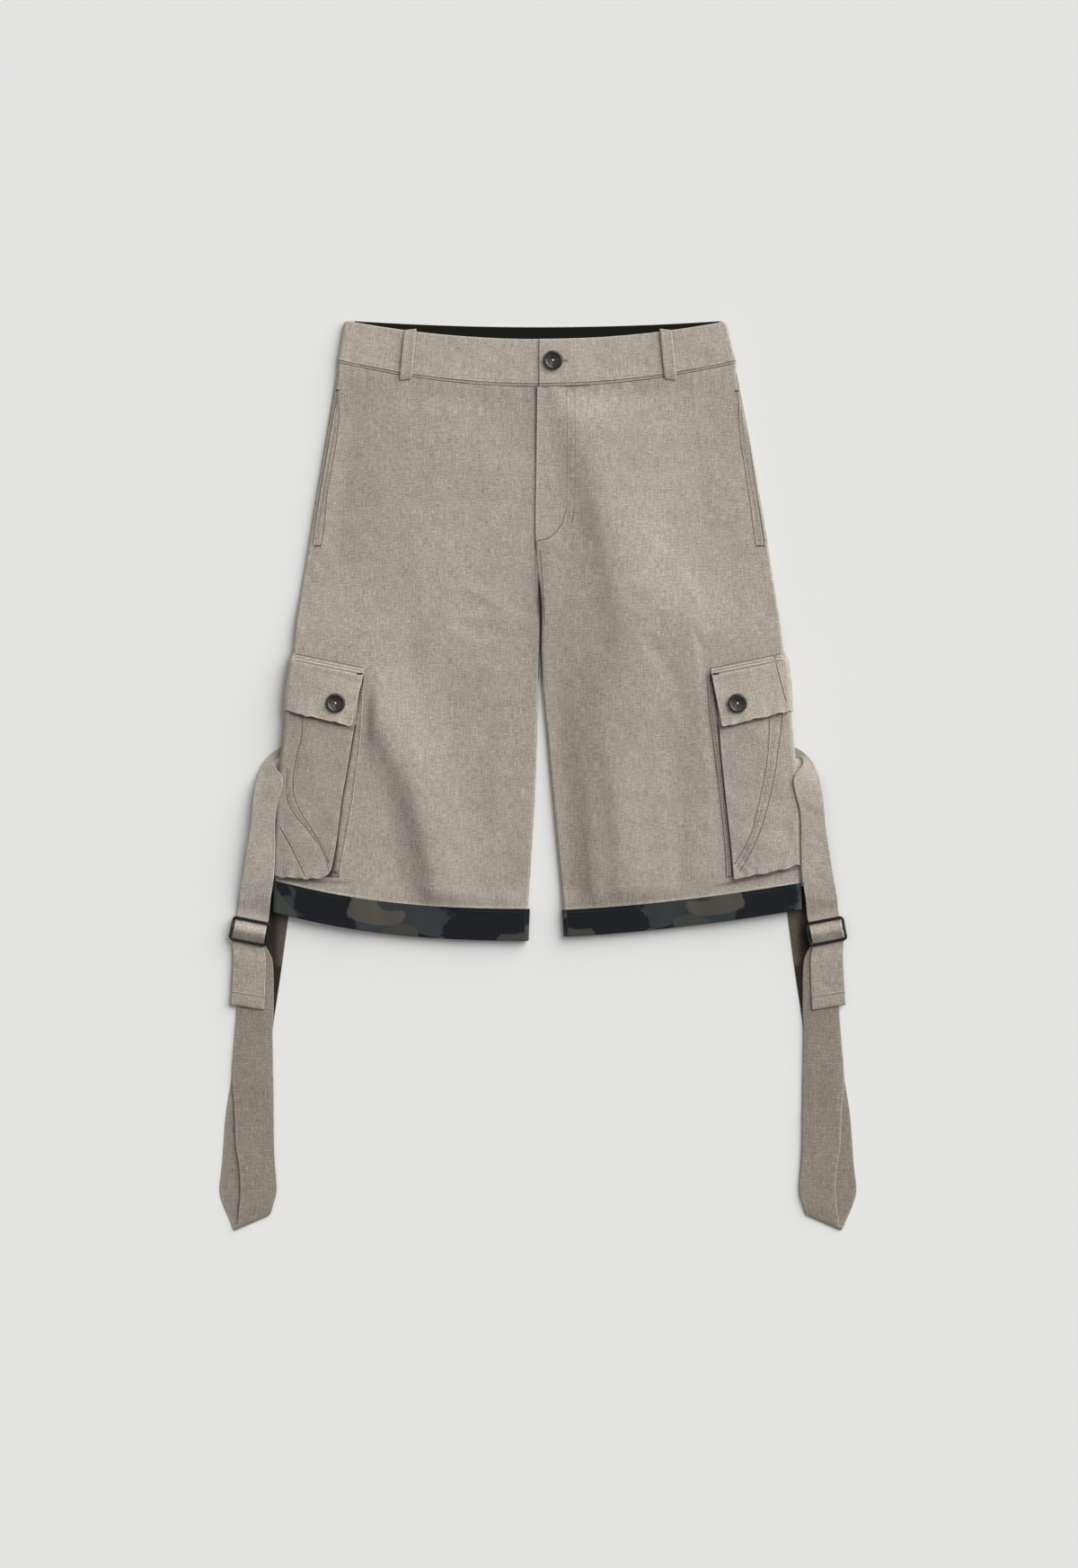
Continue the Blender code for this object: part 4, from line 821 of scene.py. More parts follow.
tape = Look("woven zip tape", Roughness=0.8)
rib = ribs(tape, tape.node("UVMap", {"uv_map": "grain"}, {}), (4200.0, 0.0, 0.0))
tape.finish(Base_Color=tape.mix(rib * 0.5 + 0.5, (0.10, 0.092, 0.082), (0.145, 0.133, 0.12)),
            Normal=tape.bump(rib, 0.1 * MM))
FLY_WALL, LAYER_RIM = 0.8, (0.0, 0.4, 1.0)
FlyLayer = namedtuple("FlyLayer", "name x0 x1 above look slot")
FLY_LAYERS = (FlyLayer("fly_shield", -FLY_UNDERLAP, 38.0, CLOTH + GAP, sewn_cloth, "shell_cloth"),
              FlyLayer("fly_zip", -6.0, 24.0, CLOTH + GAP + FLY_WALL + GAP, tape.material, "zip"))
for layer in FLY_LAYERS:
    x, y = np.meshgrid(spaced(layer.x0, layer.x1, 2.5, LAYER_RIM),
                       spaced(372.0, FLY_END + 5.0, 4.0, LAYER_RIM))
    rim = rounded(np.minimum(x - layer.x0, layer.x1 - x), 0.4)
    grid = joined(x, y, back_lift(LEFT, x, y) + layer.above + FLY_WALL - rim)
    cloth = surface(layer.name, grid, LEFT, layer.look, layer.slot, wall=0.7)
    (layer.x1 - layer.x0) * MM

# Coil teeth of the closed zip: a row of small loops down the tape, each a bent bar.
COIL_MIDDLE, COIL_REACH, COIL_PITCH, COIL_WIRE = 9.0, 2.6, 1.5, 0.35
teeth_y = np.arange(FLY_END + 9.0, 368.0, COIL_PITCH)
turn = full_turn(6)
bar = np.linspace(-COIL_REACH, COIL_REACH, 7)[None, :, None]
arch = 0.45 * np.cos(bar / COIL_REACH * np.pi / 2)
points = joined(COIL_MIDDLE + bar, teeth_y[:, None, None] + 0.45 * np.cos(turn) + 0.25 * np.sign(bar),
                CLOTH + 2 * (GAP + FLY_WALL) + arch + COIL_WIRE * np.sin(turn))
rods("zip_coil", points, tape.material)
for side, name in SIDES:
    u = np.linspace(BAND_START[side] + 2.0, 188.0, 110)
    stitches("waistband_stitches_" + name, side, [joined(u, front_seam(u) + BAND_ROW)],
             WAIST_LIFT + LEG_THICK, lambda side, u, y: over_tab(side, u))

# ---------------------------------------------------------------- belt loops
# Five narrow strips of cloth, folded, pressed and sewn across the waistband with a bar of thread at
# each end: two on the front, standing a little proud so that a belt passes, and three at the back.
LOOP_WIDTH, LOOP_WALL, LOOP_ARCH, BACK_LOOP_U = 12.0, 1.4, 1.0, 108.0
FRONT_LOOP_TOP, FRONT_LOOP_FOOT = 431.5, 383.0
Loop = namedtuple("Loop", "node side u top_u front")
LOOPS = (
    Loop("front_right", RIGHT, 128.2, 123.5, True),
    Loop("front_left", LEFT, 128.2, 123.5, True),
    Loop("back_right", RIGHT, BACK_LOOP_U, BACK_LOOP_U, False),
    Loop("back_left", LEFT, BACK_LOOP_U, BACK_LOOP_U, False),
    Loop("back_centre", LEFT, 0.0, 0.0, False),
)
for loop in LOOPS:
    top = FRONT_LOOP_TOP if loop.front else back_top(loop.u) - 1.0
    foot = FRONT_LOOP_FOOT if loop.front else back_seam(loop.u) - 4.0
    length = top - foot
    down = spaced(0.0, length, 1.6, (0.0, 0.3, 0.7, 1.3))[:, None]
    across = spaced(-LOOP_WIDTH / 2, LOOP_WIDTH / 2, 1.0, (0.0, 0.2, 0.5, 0.9))[None, :]
    share, from_edge = down / length, LOOP_WIDTH / 2 - np.abs(across)
    narrowed = 1.0 - 1.2 / LOOP_WIDTH * smooth((share - 0.93) / 0.07)
    u = loop.top_u * (1.0 - share) + loop.u * share + across * narrowed
    y = top - down - 0.12 * across
    rim = rounded(from_edge, 0.7) + rounded(down, 0.7) + rounded(length - down, 0.7)
    if loop.front:
        face = WAIST_LIFT + LEG_THICK + GAP + LOOP_WALL
        pad = 0.28 * bell(from_edge - 2.0, 1.1)
        z = face + LOOP_ARCH * within(share, 0.0, 0.12, 1.0, 0.15) - np.minimum(rim, 1.1) + pad
    else:
        z = np.minimum(rim, 0.9)
    # Its edges are pale, from wear and painted highlight.
    cloth = surface("belt_loop_" + loop.node, joined(u, y, z), loop.side, sewn_cloth, wall=0.9,
                    up=loop.front, grain=(across, -down), edge=0.7 * fading(from_edge, 0.5))
    length * MM
    if loop.front:
        ends = []
        for y_bar in (top - 2.2, foot + 3.0):
            middle = loop.top_u + (loop.u - loop.top_u) * (top - y_bar) / length
            ends.append(thread_bar(middle - LOOP_WIDTH / 2 + 1.2, y_bar, LOOP_WIDTH - 2.2, 0.8, 0.42))
        stitches("belt_loop_bars_" + loop.node, loop.side, ends, face + 0.35, None,
                 pitch=1.5, radius=0.22, fill=0.96)

# ---------------------------------------------------------------- side pockets
# A pocket in each side seam: its bag of the same cloth hangs between front and back, sewn into the seam
# beneath the row of stitching, and a thread bar at each end of the opening keeps it from tearing.
SidePocket = namedtuple("SidePocket", "y reach")
SIDE_POCKET = (SidePocket(176.0, 56.0), SidePocket(200.0, 92.0), SidePocket(245.0, 112.0),
               SidePocket(318.0, 118.0), SidePocket(395.0, 116.0))
PocketBar = namedtuple("PocketBar", "u y reach")
POCKET_BARS = {RIGHT: (PocketBar(210.0, 222.5, 8.0), PocketBar(191.5, 373.0, 4.5)),
               LEFT: (PocketBar(211.0, 222.5, 9.0), PocketBar(190.5, 372.4, 4.5))}
SIDE_POCKET_TOP, SIDE_POCKET_FOOT, POCKET_FOLD, POCKET_RISE = 395.0, 176.0, 4.5, 1.4
for side, name in SIDES:
    share, across = shared(200.0, 5.0)[:, None], shared(110.0, 5.0)[None, :]
    level = SIDE_POCKET_TOP * (1.0 - share) + SIDE_POCKET_FOOT * share
    u = outer_edge(side, level) - column(SIDE_POCKET, "reach", level) * (1.0 - across)
    u = u - POCKET_FOLD * across
    y = (front_seam(u) - 4.0) * (1.0 - share) + SIDE_POCKET_FOOT * share
    z = back_lift(side, u, y) + CLOTH + GAP + POCKET_RISE
    cloth = surface("side_pocket_" + name, joined(u, y, z), side, sewn_cloth, wall=1.2)
    stitches("side_pocket_bars_" + name, side, [thread_bar(*bar) for bar in POCKET_BARS[side]], 0.2,
             look=tack, pitch=1.2, radius=0.32, fill=0.98)

# ---------------------------------------------------------------- hem bands
# A band of dark camouflage poplin is turned over the hem of each leg, front and back, and sewn on close
# to its upper edge, where a lip of the leg's cloth shows pale above it.
NAVY, FADED, BLOT_EDGE = (0.0045, 0.0055, 0.0095), (0.16, 0.16, 0.15), 0.006
Blot = namedtuple("Blot", "cut colour size")
BLOTS = (Blot(0.56, (0.029, 0.036, 0.041), 14.0), Blot(0.57, (0.046, 0.051, 0.042), 12.0),
         Blot(0.58, (0.072, 0.069, 0.053), 10.0))
camouflage = Look("camouflage poplin", Roughness=0.8, Sheen_Weight=0.04, Specular_IOR_Level=0.15)
spread = camouflage.node("UVMap", {"uv_map": "grain"}, {})
ragged = camouflage.noise(spread, 260.0, 3.0, 0.6) - 0.5
colour = NAVY
for number, blot in enumerate(BLOTS):
    moved = spread + (0.73 * number + 0.22, 0.29 * number + 0.64, 0.0)
    shape = camouflage.noise(moved * (1.0, 1.7, 1.0), blot.size, 1.5, 0.45, 0.6) + ragged * 0.035
    inside = camouflage.between(shape, blot.cut - BLOT_EDGE, blot.cut + BLOT_EDGE)
    colour = camouflage.mix(inside, colour, blot.colour)
weave = camouflage.noise(spread * (900.0, 2200.0, 0.0), 1.0, 2.0, 0.7)
fade = camouflage.noise(spread, 90.0, 3.0, 0.6)
colour = camouflage.mix(0.03 * weave + 0.03 * fade, colour, FADED)
camouflage.finish(Base_Color=colour, Normal=camouflage.bump(weave, 0.15 * MM, 0.7))


def hem_grid(side, above, columns):
    """A ring round the leg: rows up from the hem line, columns over the front, round the outer fold as a
    half circle, back underneath and round the inner fold."""
    def height(u):
        return hem_line(side, u) + above

    def middle(u):
        return (front_top(side, u, height(u)) + back_lift(side, u, height(u))) / 2

    out = GAP + CLOTH - rounded(above, 0.9) - rounded(HEM[side].band - above, 0.7)
    radius, half = HALF_LEG + out, np.linspace(0.0, np.pi, 15)[None, :]
    outer = outer_edge(side, height(HEM_SPAN)) - HALF_LEG
    inner = inner_edge(side, height(15.0)) + HALF_LEG
    flat = inner * (1.0 - columns[None, 1:-1]) + outer * columns[None, 1:-1]
    wave = 0.25 * rumple(flat, above, 16.0, 60.0, 5 + side)
    u = np.concatenate([flat, outer + radius * np.sin(half), flat[:, ::-1], inner - radius * np.sin(half)],
                       axis=1)
    z = np.concatenate([front_top(side, flat, height(flat)) + out + wave,
                        middle(outer) + radius * np.cos(half),
                        (back_lift(side, flat, height(flat)) - out)[:, ::-1],
                        middle(inner) - radius * np.cos(half)], axis=1)
    return joined(u, height(u), z)


HEM_ROW = 3.2              # from the band's upper edge down to its stitches
for side, name in SIDES:
    band = HEM[side].band
    above = spaced(0.0, band, 1.8, (0.0, 0.3, 0.7, 1.2))[:, None]
    grid = hem_grid(side, above, shared(PANEL_OUTER, 2.2))
    cloth = surface("hem_band_" + name, grid, side, camouflage.material, "camouflage", up=False, ring=True,
                    grain=runs(grid), seams=close_to(band - HEM_ROW - above))
    band * MM
    u = np.linspace(inner_edge(side, -150.0) + 4.0, 252.0, 120)
    stitches("hem_stitches_" + name, side, [joined(u, hem_line(side, u) + band - HEM_ROW)],
             GAP + CLOTH + SUNK, look=tack)

# ---------------------------------------------------------------- cargo pockets
# A bellows pocket lies over each side seam, half on the front and half on the back. A folded gusset
# lets it open, the flap above is doubled cloth with a buttonhole, and two curved rows shape the bag.
Cargo = namedtuple("Cargo", "y flap bag gusset")
CARGO = {
    RIGHT: (Cargo(100.0, 168.0, 171.0, 168.2), Cargo(62.0, 177.3, 175.0, 169.7),
            Cargo(24.0, 184.0, 181.2, 172.2), Cargo(-25.0, 190.0, 189.8, 178.8),
            Cargo(-69.0, 194.0, 195.4, 186.6), Cargo(-100.0, 196.0, 201.4, 192.4)),
    LEFT: (Cargo(100.0, 167.0, 170.0, 163.2), Cargo(62.0, 174.8, 173.8, 165.7),
           Cargo(24.0, 182.0, 176.4, 170.6), Cargo(-25.0, 187.0, 181.5, 176.6),
           Cargo(-69.0, 191.0, 186.4, 181.2), Cargo(-100.0, 194.0, 189.0, 182.2)),
}
Edge = namedtuple("Edge", "inner_u inner_y outer_u outer_y")
FLAP_TOP, FLAP_BOTTOM = Edge(166.0, 105.0, 237.0, 119.5), Edge(181.0, 47.5, 247.0, 64.0)
BAG_TOP = Edge(170.0, 91.0, 240.0, 105.0)
BAG_BOTTOM = {RIGHT: Edge(201.0, -100.0, 256.0, -97.5), LEFT: Edge(189.0, -100.5, 255.0, -86.0)}
# Per side: the radius of the bag's lower inner corner, how proud its inner edge stands, a painted light
# offset that makes the bag darker on the right and lighter on the left, the width of the painted shade on
# the gusset towards its foot, and a painted light offset that makes the flap paler, more so on the left.
Bag = namedtuple("Bag", "corner proud worn gusset_shade flap_worn")
BAG = {RIGHT: Bag(12.0, 1.5, -0.2, 2.4, 0.12), LEFT: Bag(3.0, 0.7, 0.22, 0.6, 0.35)}
BAG_LENGTH, FLAP_LENGTH, FLAP_CORNER = 190.0, 57.0, 3.0
FLAP_ROWS, FLAP_BAR_U, FLAP_BAR_DOWN = (1.4, 7.6), 169.0, 6.8     # down from the flap's upper edge
TURNED_RIM = (0.0, 0.3, 0.8, 1.5)          # places close to an edge that is turned in
FLAP_TUCK = ((227.7, 117.0), (232.0, 98.0), (239.3, 71.3))     # a crease pressed into the left flap
GUSSET_RISE, PUFF = CLOTH + 2 * GAP, 1.6
BAG_OUT = np.array([GUSSET_RISE + CLOTH, 1.2 + CLOTH, GAP + CLOTH])
FLAP_OUT = BAG_OUT + GAP + FLAP_WALL
FLAP_TOP_OUT = np.array([GAP + FLAP_WALL + 0.2, 2.4, FLAP_OUT[2]])
BAG_ROWS = {
    RIGHT: (((227.4, 56.0), (228.6, 38.0), (232.5, 21.7), (236.6, 0.0), (236.0, -18.7), (228.4, -36.9),
             (214.3, -59.0), (202.2, -83.0)),
            ((242.6, 4.0), (243.0, -20.0), (235.5, -36.9), (222.4, -53.0), (208.2, -73.2), (203.0, -90.0))),
    LEFT: (((223.0, 54.0), (222.7, 38.0), (219.7, 7.0), (210.8, -35.8), (205.3, -55.8), (197.5, -72.6),
            (189.7, -84.8)),
           ((235.6, 58.0), (234.0, 42.0), (231.4, 24.0), (228.6, 3.0), (221.8, -28.3), (215.3, -50.0),
            (207.6, -69.0), (195.4, -91.0))),
}
BAG_TUCKS = {RIGHT: (((253.7, -40.9), (246.6, -55.0), (236.5, -73.2), (225.4, -96.4)),), LEFT: ()}


def on_edge(edge, u):
    """Height of a slanting edge at u."""
    share = (u - edge.inner_u) / (edge.outer_u - edge.inner_u)
    return edge.inner_y + (edge.outer_y - edge.inner_y) * share


def puff(side, u, y):
    """How proud the empty bag stands: half a sine from its inner edge to the side of the leg."""
    start = column(CARGO[side], "bag", y)
    share = (u - start) / (outer_edge(side, y) - HALF_LEG - start)
    return PUFF * np.sin(np.pi * np.clip(share, 0.0, 1.0))


def wrapped(side, top, bottom, shares, kind, corner, out, relief):
    """A piece that lies on the front of the leg, turns round its side as a half circle and lies beneath.

    Rows go from its top edge to its bottom edge and columns from its inner edge round to the back. out
    is how far it stands off the leg on top, at the side and below, in each row, and corner the radius of
    its lower inner corner. Also given back is which columns lie on the front.
    """
    share = shares[:, None]

    def height(u):
        wavy = 0.7 * rumple(side * u, 0.0, 6.0, 22.0, 47) * share ** 12
        return on_edge(top, u) * (1.0 - share) + on_edge(bottom, u) * share + wavy

    level = top.inner_y * (1.0 - share) + bottom.inner_y * share
    u_edge = outer_edge(side, height(245.0))
    y_edge = height(u_edge)
    above = front_top(side, u_edge - HALF_LEG, y_edge) + out[:, :1]
    below = back_lift(side, u_edge - HALF_LEG, y_edge) - out[:, 2:]
    radius = (above - below) / 2
    centre = u_edge + out[:, 1:2] - radius
    from_foot = (1.0 - share) * (top.inner_y - bottom.inner_y)
    u_front = column(CARGO[side], kind, level) + rounded(from_foot, corner)
    columns = shared(80.0, 80.0 / 30, TURNED_RIM)[None, :]
    angle = np.linspace(np.pi / 2, -np.pi / 2, 17)[None, :]
    u_top = u_front + (centre - u_front) * columns[:, :-1]
    u_low = centre + (u_edge - BAG_BACK - centre) * columns[:, 1:]
    u = np.concatenate([u_top, centre + radius * np.cos(angle), u_low], axis=1)
    y = height(np.minimum(u, u_edge))
    y_top, y_low = y[:, :u_top.shape[1]], y[:, -u_low.shape[1]:]
    z_top = (front_top(side, u_top, y_top) + puff(side, u_top, y_top) + out[:, :1]
             - rounded(u_top - u_front, 0.6) + relief(side, u_top, y_top) * smooth((centre - u_top) / 8.0))
    z = np.concatenate([z_top, (above + below) / 2 + radius * np.sin(angle),
                        back_lift(side, u_low, y_low) - out[:, 2:]], axis=1)
    return joined(u, y, z), np.arange(u.shape[1]) < u_top.shape[1]


def wrapped_edges(grid, from_foot, foot):
    """Pale wear and painted highlight along the inner edge of a wrapped piece and, times foot, along its
    lower edge.
    """
    return 0.9 * fading(grid[..., 0] - grid[:, :1, 0], 0.8) + foot * fading(from_foot, 0.8)


def bag_relief(side, u, y):
    """Soft swelling of the bag, dented along its sewn rows and gathered at its lower corner."""
    corner = fading(np.hypot(u - BAG_BOTTOM[side].inner_u - 8.0, y - BAG_BOTTOM[side].inner_y - 6.0), 16.0)
    dent = sum(bell(beside(u, y, row)[0], 2.2) for row in bag_rows[side] + bag_tucks[side])
    gathers = np.sin((u + y) / 1.9) * corner * 0.55
    from_edge, from_foot = u - column(CARGO[side], "bag", y), y - on_edge(BAG_BOTTOM[side], u)
    proud = (BAG[side].proud * fading(from_edge, 9.0)
             + (1.0 + 0.5 * rumple(side * u, 0.0, 9.0, 30.0, 33)) * fading(from_foot, 7.0))
    soft = 0.5 * rumple(side * u, y, 20.0, 80.0, 31 + side) - 0.35 * dent + gathers
    return soft * smooth(from_edge / 4.0) + np.maximum(proud, 0.0)


def flap_relief(side, u, y):
    """The flap's folded upper edge as a low ridge, and its lower and inner edges curling up."""
    top, from_foot = on_edge(FLAP_TOP, u) - y, y - on_edge(FLAP_BOTTOM, u)
    curl = (1.5 + 0.6 * rumple(side * u, 0.0, 10.0, 30.0, 43)) * fading(np.maximum(from_foot, 0.0), 9.0)
    curl = curl + 0.8 * fading(u - column(CARGO[side], "flap", y), 6.0) * smooth((top - 14.0) / 10.0)
    soft = 0.25 * rumple(side * u, y, 16.0, 60.0, 41 + side) * smooth((top - 8.0) / 6.0)
    return 0.35 * within(top, 6.5, 2.0, 16.0, 6.0) + curl + soft


def flap_out(share):
    """How far the flap stands off the leg: little at its sewn top, then clear of the bag."""
    fallen = smooth((share - 0.02) / 0.16)
    return FLAP_TOP_OUT * (1.0 - fallen) + FLAP_OUT * fallen


def bag_top(side, u, y):
    return front_top(side, u, y) + puff(side, u, y) + BAG_OUT[0] + bag_relief(side, u, y)


def flap_top(side, u, y):
    out = flap_out((on_edge(FLAP_TOP, u) - y)[:, None] / FLAP_LENGTH)[:, 0]
    return front_top(side, u, y) + puff(side, u, y) + out + flap_relief(side, u, y)


bag_cloth = linen("pocket cloth", tone=0.92)
bag_rows, bag_tucks = ({side: [curve_through(points) for points in lines[side]] for side in SIDE_NAME}
                       for lines in (BAG_ROWS, BAG_TUCKS))
flap_u = np.linspace(168.0, 236.0, 36)
flap_lines = [joined(flap_u, on_edge(FLAP_TOP, flap_u) - drop) for drop in FLAP_ROWS]
for side, name in SIDES:
    # gusset: folded flat, it shows along the inner edge of the bag and turns under it
    level = spaced(98.0, -97.0, 2.5)[:, None]
    share = shared(20.0, 1.4, (0.0, 0.3, 0.8))[None, :]
    start = column(CARGO[side], "gusset", level)
    u = start * (1.0 - share) + (column(CARGO[side], "bag", level) + 12.0) * share
    y, in_from_edge = level + 0.0 * u, u - start
    ripple = 0.25 * rumple(u, y, 9.0, 40.0, 21) * smooth(in_from_edge / 3.0)
    z = front_top(side, u, y) + GAP + CLOTH - rounded(in_from_edge, 0.7) + ripple
    line = np.concatenate([start + 1.8, level], axis=1)
    # Painted shade on the gusset in the gap beside the edges of the flap and the bag, wider beside the flap
    # and towards the foot, and on the right a dark corner at its foot. The gusset's own edge is pale from
    # wear and painted highlight.
    covered = np.where(y > 50.0, column(CARGO[side], "flap", y), column(CARGO[side], "bag", y))
    dark = 1.7 + 1.2 * smooth((y - 44.0) / 8.0) + BAG[side].gusset_shade * smooth((-50.0 - y) / 40.0)
    painted_gap_shade = bell(np.maximum(covered - u, 0.0), dark)
    if side == RIGHT:
        painted_gap_shade = np.maximum(painted_gap_shade, bell(u - 196.5, 4.0) * bell(y + 93.5, 2.0))
    cloth = surface("cargo_gusset_" + name, joined(u, y, z), side, bag_cloth, shade=0.95 * painted_gap_shade,
                    seams=seam_values(u, y, [line]), edge=0.8 * fading(in_from_edge, 0.7))
    stitches("cargo_gusset_stitches_" + name, side, [line], GAP + CLOTH + 0.1, radius=0.36)

    # bag
    shares = shared(BAG_LENGTH, 2.4, TURNED_RIM)
    from_foot = (1.0 - shares[:, None]) * BAG_LENGTH
    grid, on_front = wrapped(side, BAG_TOP, BAG_BOTTOM[side], shares, "bag", BAG[side].corner,
                             BAG_OUT - rounded(from_foot, 0.5), bag_relief)
    u, y = grid[..., 0], grid[..., 1]
    # Painted shadow on the bag along and below the flap's lower edge. The bag's edges are pale from wear and
    # painted highlight, and the whole bag lighter or darker by side as painted light.
    below_flap = on_edge(FLAP_BOTTOM, u) - y
    under = 0.55 * bell(below_flap - 1.0, 1.5) + 0.12 * bell(np.maximum(below_flap, 0.0), 7.0)
    off, near = seam_values(u, y, bag_rows[side] + bag_tucks[side])
    cloth = surface("cargo_bag_" + name, grid, side, bag_cloth, wall=0.8, grain=runs(grid),
                    seams=(off, near * on_front), shade=under * on_front,
                    edge=wrapped_edges(grid, from_foot, 0.8) + BAG[side].worn)
    stitches("cargo_bag_stitches_" + name, side, bag_rows[side], SUNK, bag_top)

    # flap
    shares = shared(FLAP_LENGTH, 1.8, TURNED_RIM)
    from_foot = (1.0 - shares[:, None]) * FLAP_LENGTH
    grid, on_front = wrapped(side, FLAP_TOP, FLAP_BOTTOM, shares, "flap", FLAP_CORNER,
                             flap_out(shares[:, None]) - rounded(from_foot, 0.6), flap_relief)
    creases = flap_lines + ([curve_through(FLAP_TUCK)] if side == LEFT else [])
    off, near = seam_values(grid[..., 0], grid[..., 1], creases)
    # Its inner and lower edges are pale from wear and painted highlight, and the whole flap paler by side as
    # painted light.
    cloth = surface("cargo_flap_" + name, grid, side, sewn_cloth, grain=runs(grid),
                    seams=(off, near * on_front),
                    edge=wrapped_edges(grid, from_foot, 0.9) + BAG[side].flap_worn)
    stitches("cargo_flap_stitches_" + name, side, flap_lines, 0.0, flap_top, fill=0.4)
    bar = thread_bar(FLAP_BAR_U, on_edge(FLAP_TOP, FLAP_BAR_U) - FLAP_BAR_DOWN, 5.8, 0.8)
    stitches("cargo_flap_bar_" + name, side, [bar], 0.3, flap_top, tack, pitch=1.3, radius=0.42, fill=0.98)

# ---------------------------------------------------------------- side straps and buckles
# On each side a strap of the same cloth comes from under the cargo pocket, passes over its edge and
# weaves under, over and under the bars of a black wire buckle; its hemmed end hangs free. A longer strap
# is hooked round the middle bar, hangs down to a folded tip and goes back up beneath the leg.
STRAP_WALL, STRAP_WIDTH = 1.2, 32.0
WIRE, BAR_WIRE = 1.45, 1.35                # radii of the buckle's frame and of its middle bar
Strap = namedtuple("Strap", "outer_u outer_y outer_z inner_u inner_y inner_z")
UPPER_STRAP = (
    Strap(234.0, 29.0, 0.0, 234.0, 13.0, 0.0),
    Strap(248.0, 28.0, 0.0, 247.0, 17.0, 0.0),
    Strap(257.5, 22.5, 0.6, 253.8, 18.0, 0.6),
    Strap(265.6, 12.6, 1.4, 256.4, 13.5, 4.0),
    Strap(269.4, 4.5, 2.6, 254.4, 9.0, 9.0),
    Strap(272.6, -5.0, 5.6, 246.4, -2.5, 11.0),
    Strap(275.2, -20.0, 8.0, 248.6, -18.0, 11.4),
    Strap(276.5, -34.0, 9.0, 252.6, -33.0, 11.4),
    Strap(278.0, -50.0, 9.2, 254.0, -48.0, 11.3),
    Strap(281.6, -72.0, 9.0, 253.8, -70.0, 11.2),
    Strap(285.2, -96.0, 8.0, 255.2, -98.0, 10.6),
    Strap(289.0, -116.0, 5.8, 258.4, -119.0, 7.8),
)
STRAP_END = (
    Strap(295.0, -173.0, 3.7, 263.4, -177.5, 3.7),
    Strap(295.8, -192.0, 3.4, 263.8, -197.0, 3.4),
    Strap(297.5, -221.5, 3.3, 265.0, -226.5, 3.3),
)
LOWER_FRONT = (
    Strap(293.4, -167.5, 3.2, 260.0, -171.0, 3.2),
    Strap(291.8, -182.0, 3.0, 256.4, -184.0, 3.0),
    Strap(291.7, -226.0, 2.9, 256.0, -227.0, 2.9),
    Strap(293.0, -247.0, 2.9, 257.0, -247.0, 2.9),
    Strap(296.4, -293.0, 2.9, 256.2, -293.0, 2.9),
    Strap(294.0, -325.0, 2.9, 255.8, -325.0, 2.9),
    Strap(292.6, -359.0, 2.9, 255.4, -359.0, 2.9),
    Strap(289.6, -378.0, 2.9, 254.4, -378.0, 2.9),
    Strap(288.4, -403.0, 2.9, 252.8, -400.0, 2.9),
    Strap(290.4, -425.0, 2.9, 256.0, -414.0, 2.9),
)
STRAP_FOLD = Strap(292.8, -440.8, 1.45, 260.5, -426.4, 1.45)
LOWER_BACK = (
    Strap(299.0, -429.0, 0.0, 266.0, -418.0, 0.0),
    Strap(305.0, -415.0, 0.0, 271.0, -410.0, 0.0),
    Strap(308.4, -400.5, 0.0, 274.0, -398.0, 0.0),
    Strap(305.8, -375.0, 0.0, 271.6, -375.0, 0.0),
    Strap(302.2, -328.0, 0.0, 268.0, -328.0, 0.0),
    Strap(296.7, -292.0, 0.0, 262.4, -292.0, 0.0),
    Strap(290.4, -241.0, 0.0, 256.4, -241.0, 0.0),
    Strap(283.0, -189.0, 0.0, 248.8, -189.0, 0.0),
    Strap(276.6, -140.0, 0.0, 241.8, -136.0, 0.0),
    Strap(273.0, -108.0, 0.0, 239.0, -106.0, 0.0),
)
BUCKLE_U, BUCKLE_Y, BUCKLE_Z = 278.8, -150.2, 6.8
BUCKLE_WIDTH, BUCKLE_HEIGHT, BUCKLE_CORNER = 38.0, 24.2, 2.8
BUCKLE_TILT = np.radians(11.0)
STRAP_IN_BUCKLE, STRAP_CLEAR = 31.0, 1.1
HANGS_FROM, HANGS_TO = 20.0, 180.0         # where along it the long strap surely hangs down in front
BAR = BUCKLE_HEIGHT / 2 - WIRE
UNDER_BAR, OVER_HOOK = WIRE + GAP + STRAP_WALL, WIRE + GAP + STRAP_WALL + GAP


def stack_top(side, u, y):
    """Upper face of whatever lies highest on the leg: rounded off over its side, and the table beyond."""
    on_bag = y > on_edge(BAG_BOTTOM[side], u) - 4.0
    radius = np.where(on_bag, HALF_LEG + (BAG_OUT[0] + BAG_OUT[2]) / 2, HALF_LEG + GAP + CLOTH)
    above = np.where(on_bag, BAG_OUT[0], GAP + CLOTH)
    centre = outer_edge(side, y) + np.where(on_bag, BAG_OUT[1], GAP + CLOTH) - radius
    off = np.maximum(u - centre, 0.0)
    top = back_lift(side, np.minimum(u, centre), y) + LEG_THICK + above
    round_top = top - radius + np.sqrt(np.maximum(radius ** 2 - off ** 2, 0.0))
    top = np.where(off > 0.0, round_top, top + np.where(on_bag, puff(side, u, y), 0.0))
    return np.where(off > radius, 0.0, top)


def sections(rows, side=None):
    """Sections of a strap, from its outer to its inner edge; with a side, each lies over the leg."""
    rows = np.array(rows)
    share = ACROSS[None, :, None]

    def clear(lines):
        if side:
            over = stack_top(side, lines[..., 0], lines[..., 1]) + STRAP_CLEAR
            lines[..., 2] = np.maximum(lines[..., 2], over)
        return lines

    return clear(rows[:, None, :3] * (1.0 - share) + clear(rows[:, None, 3:]) * share)


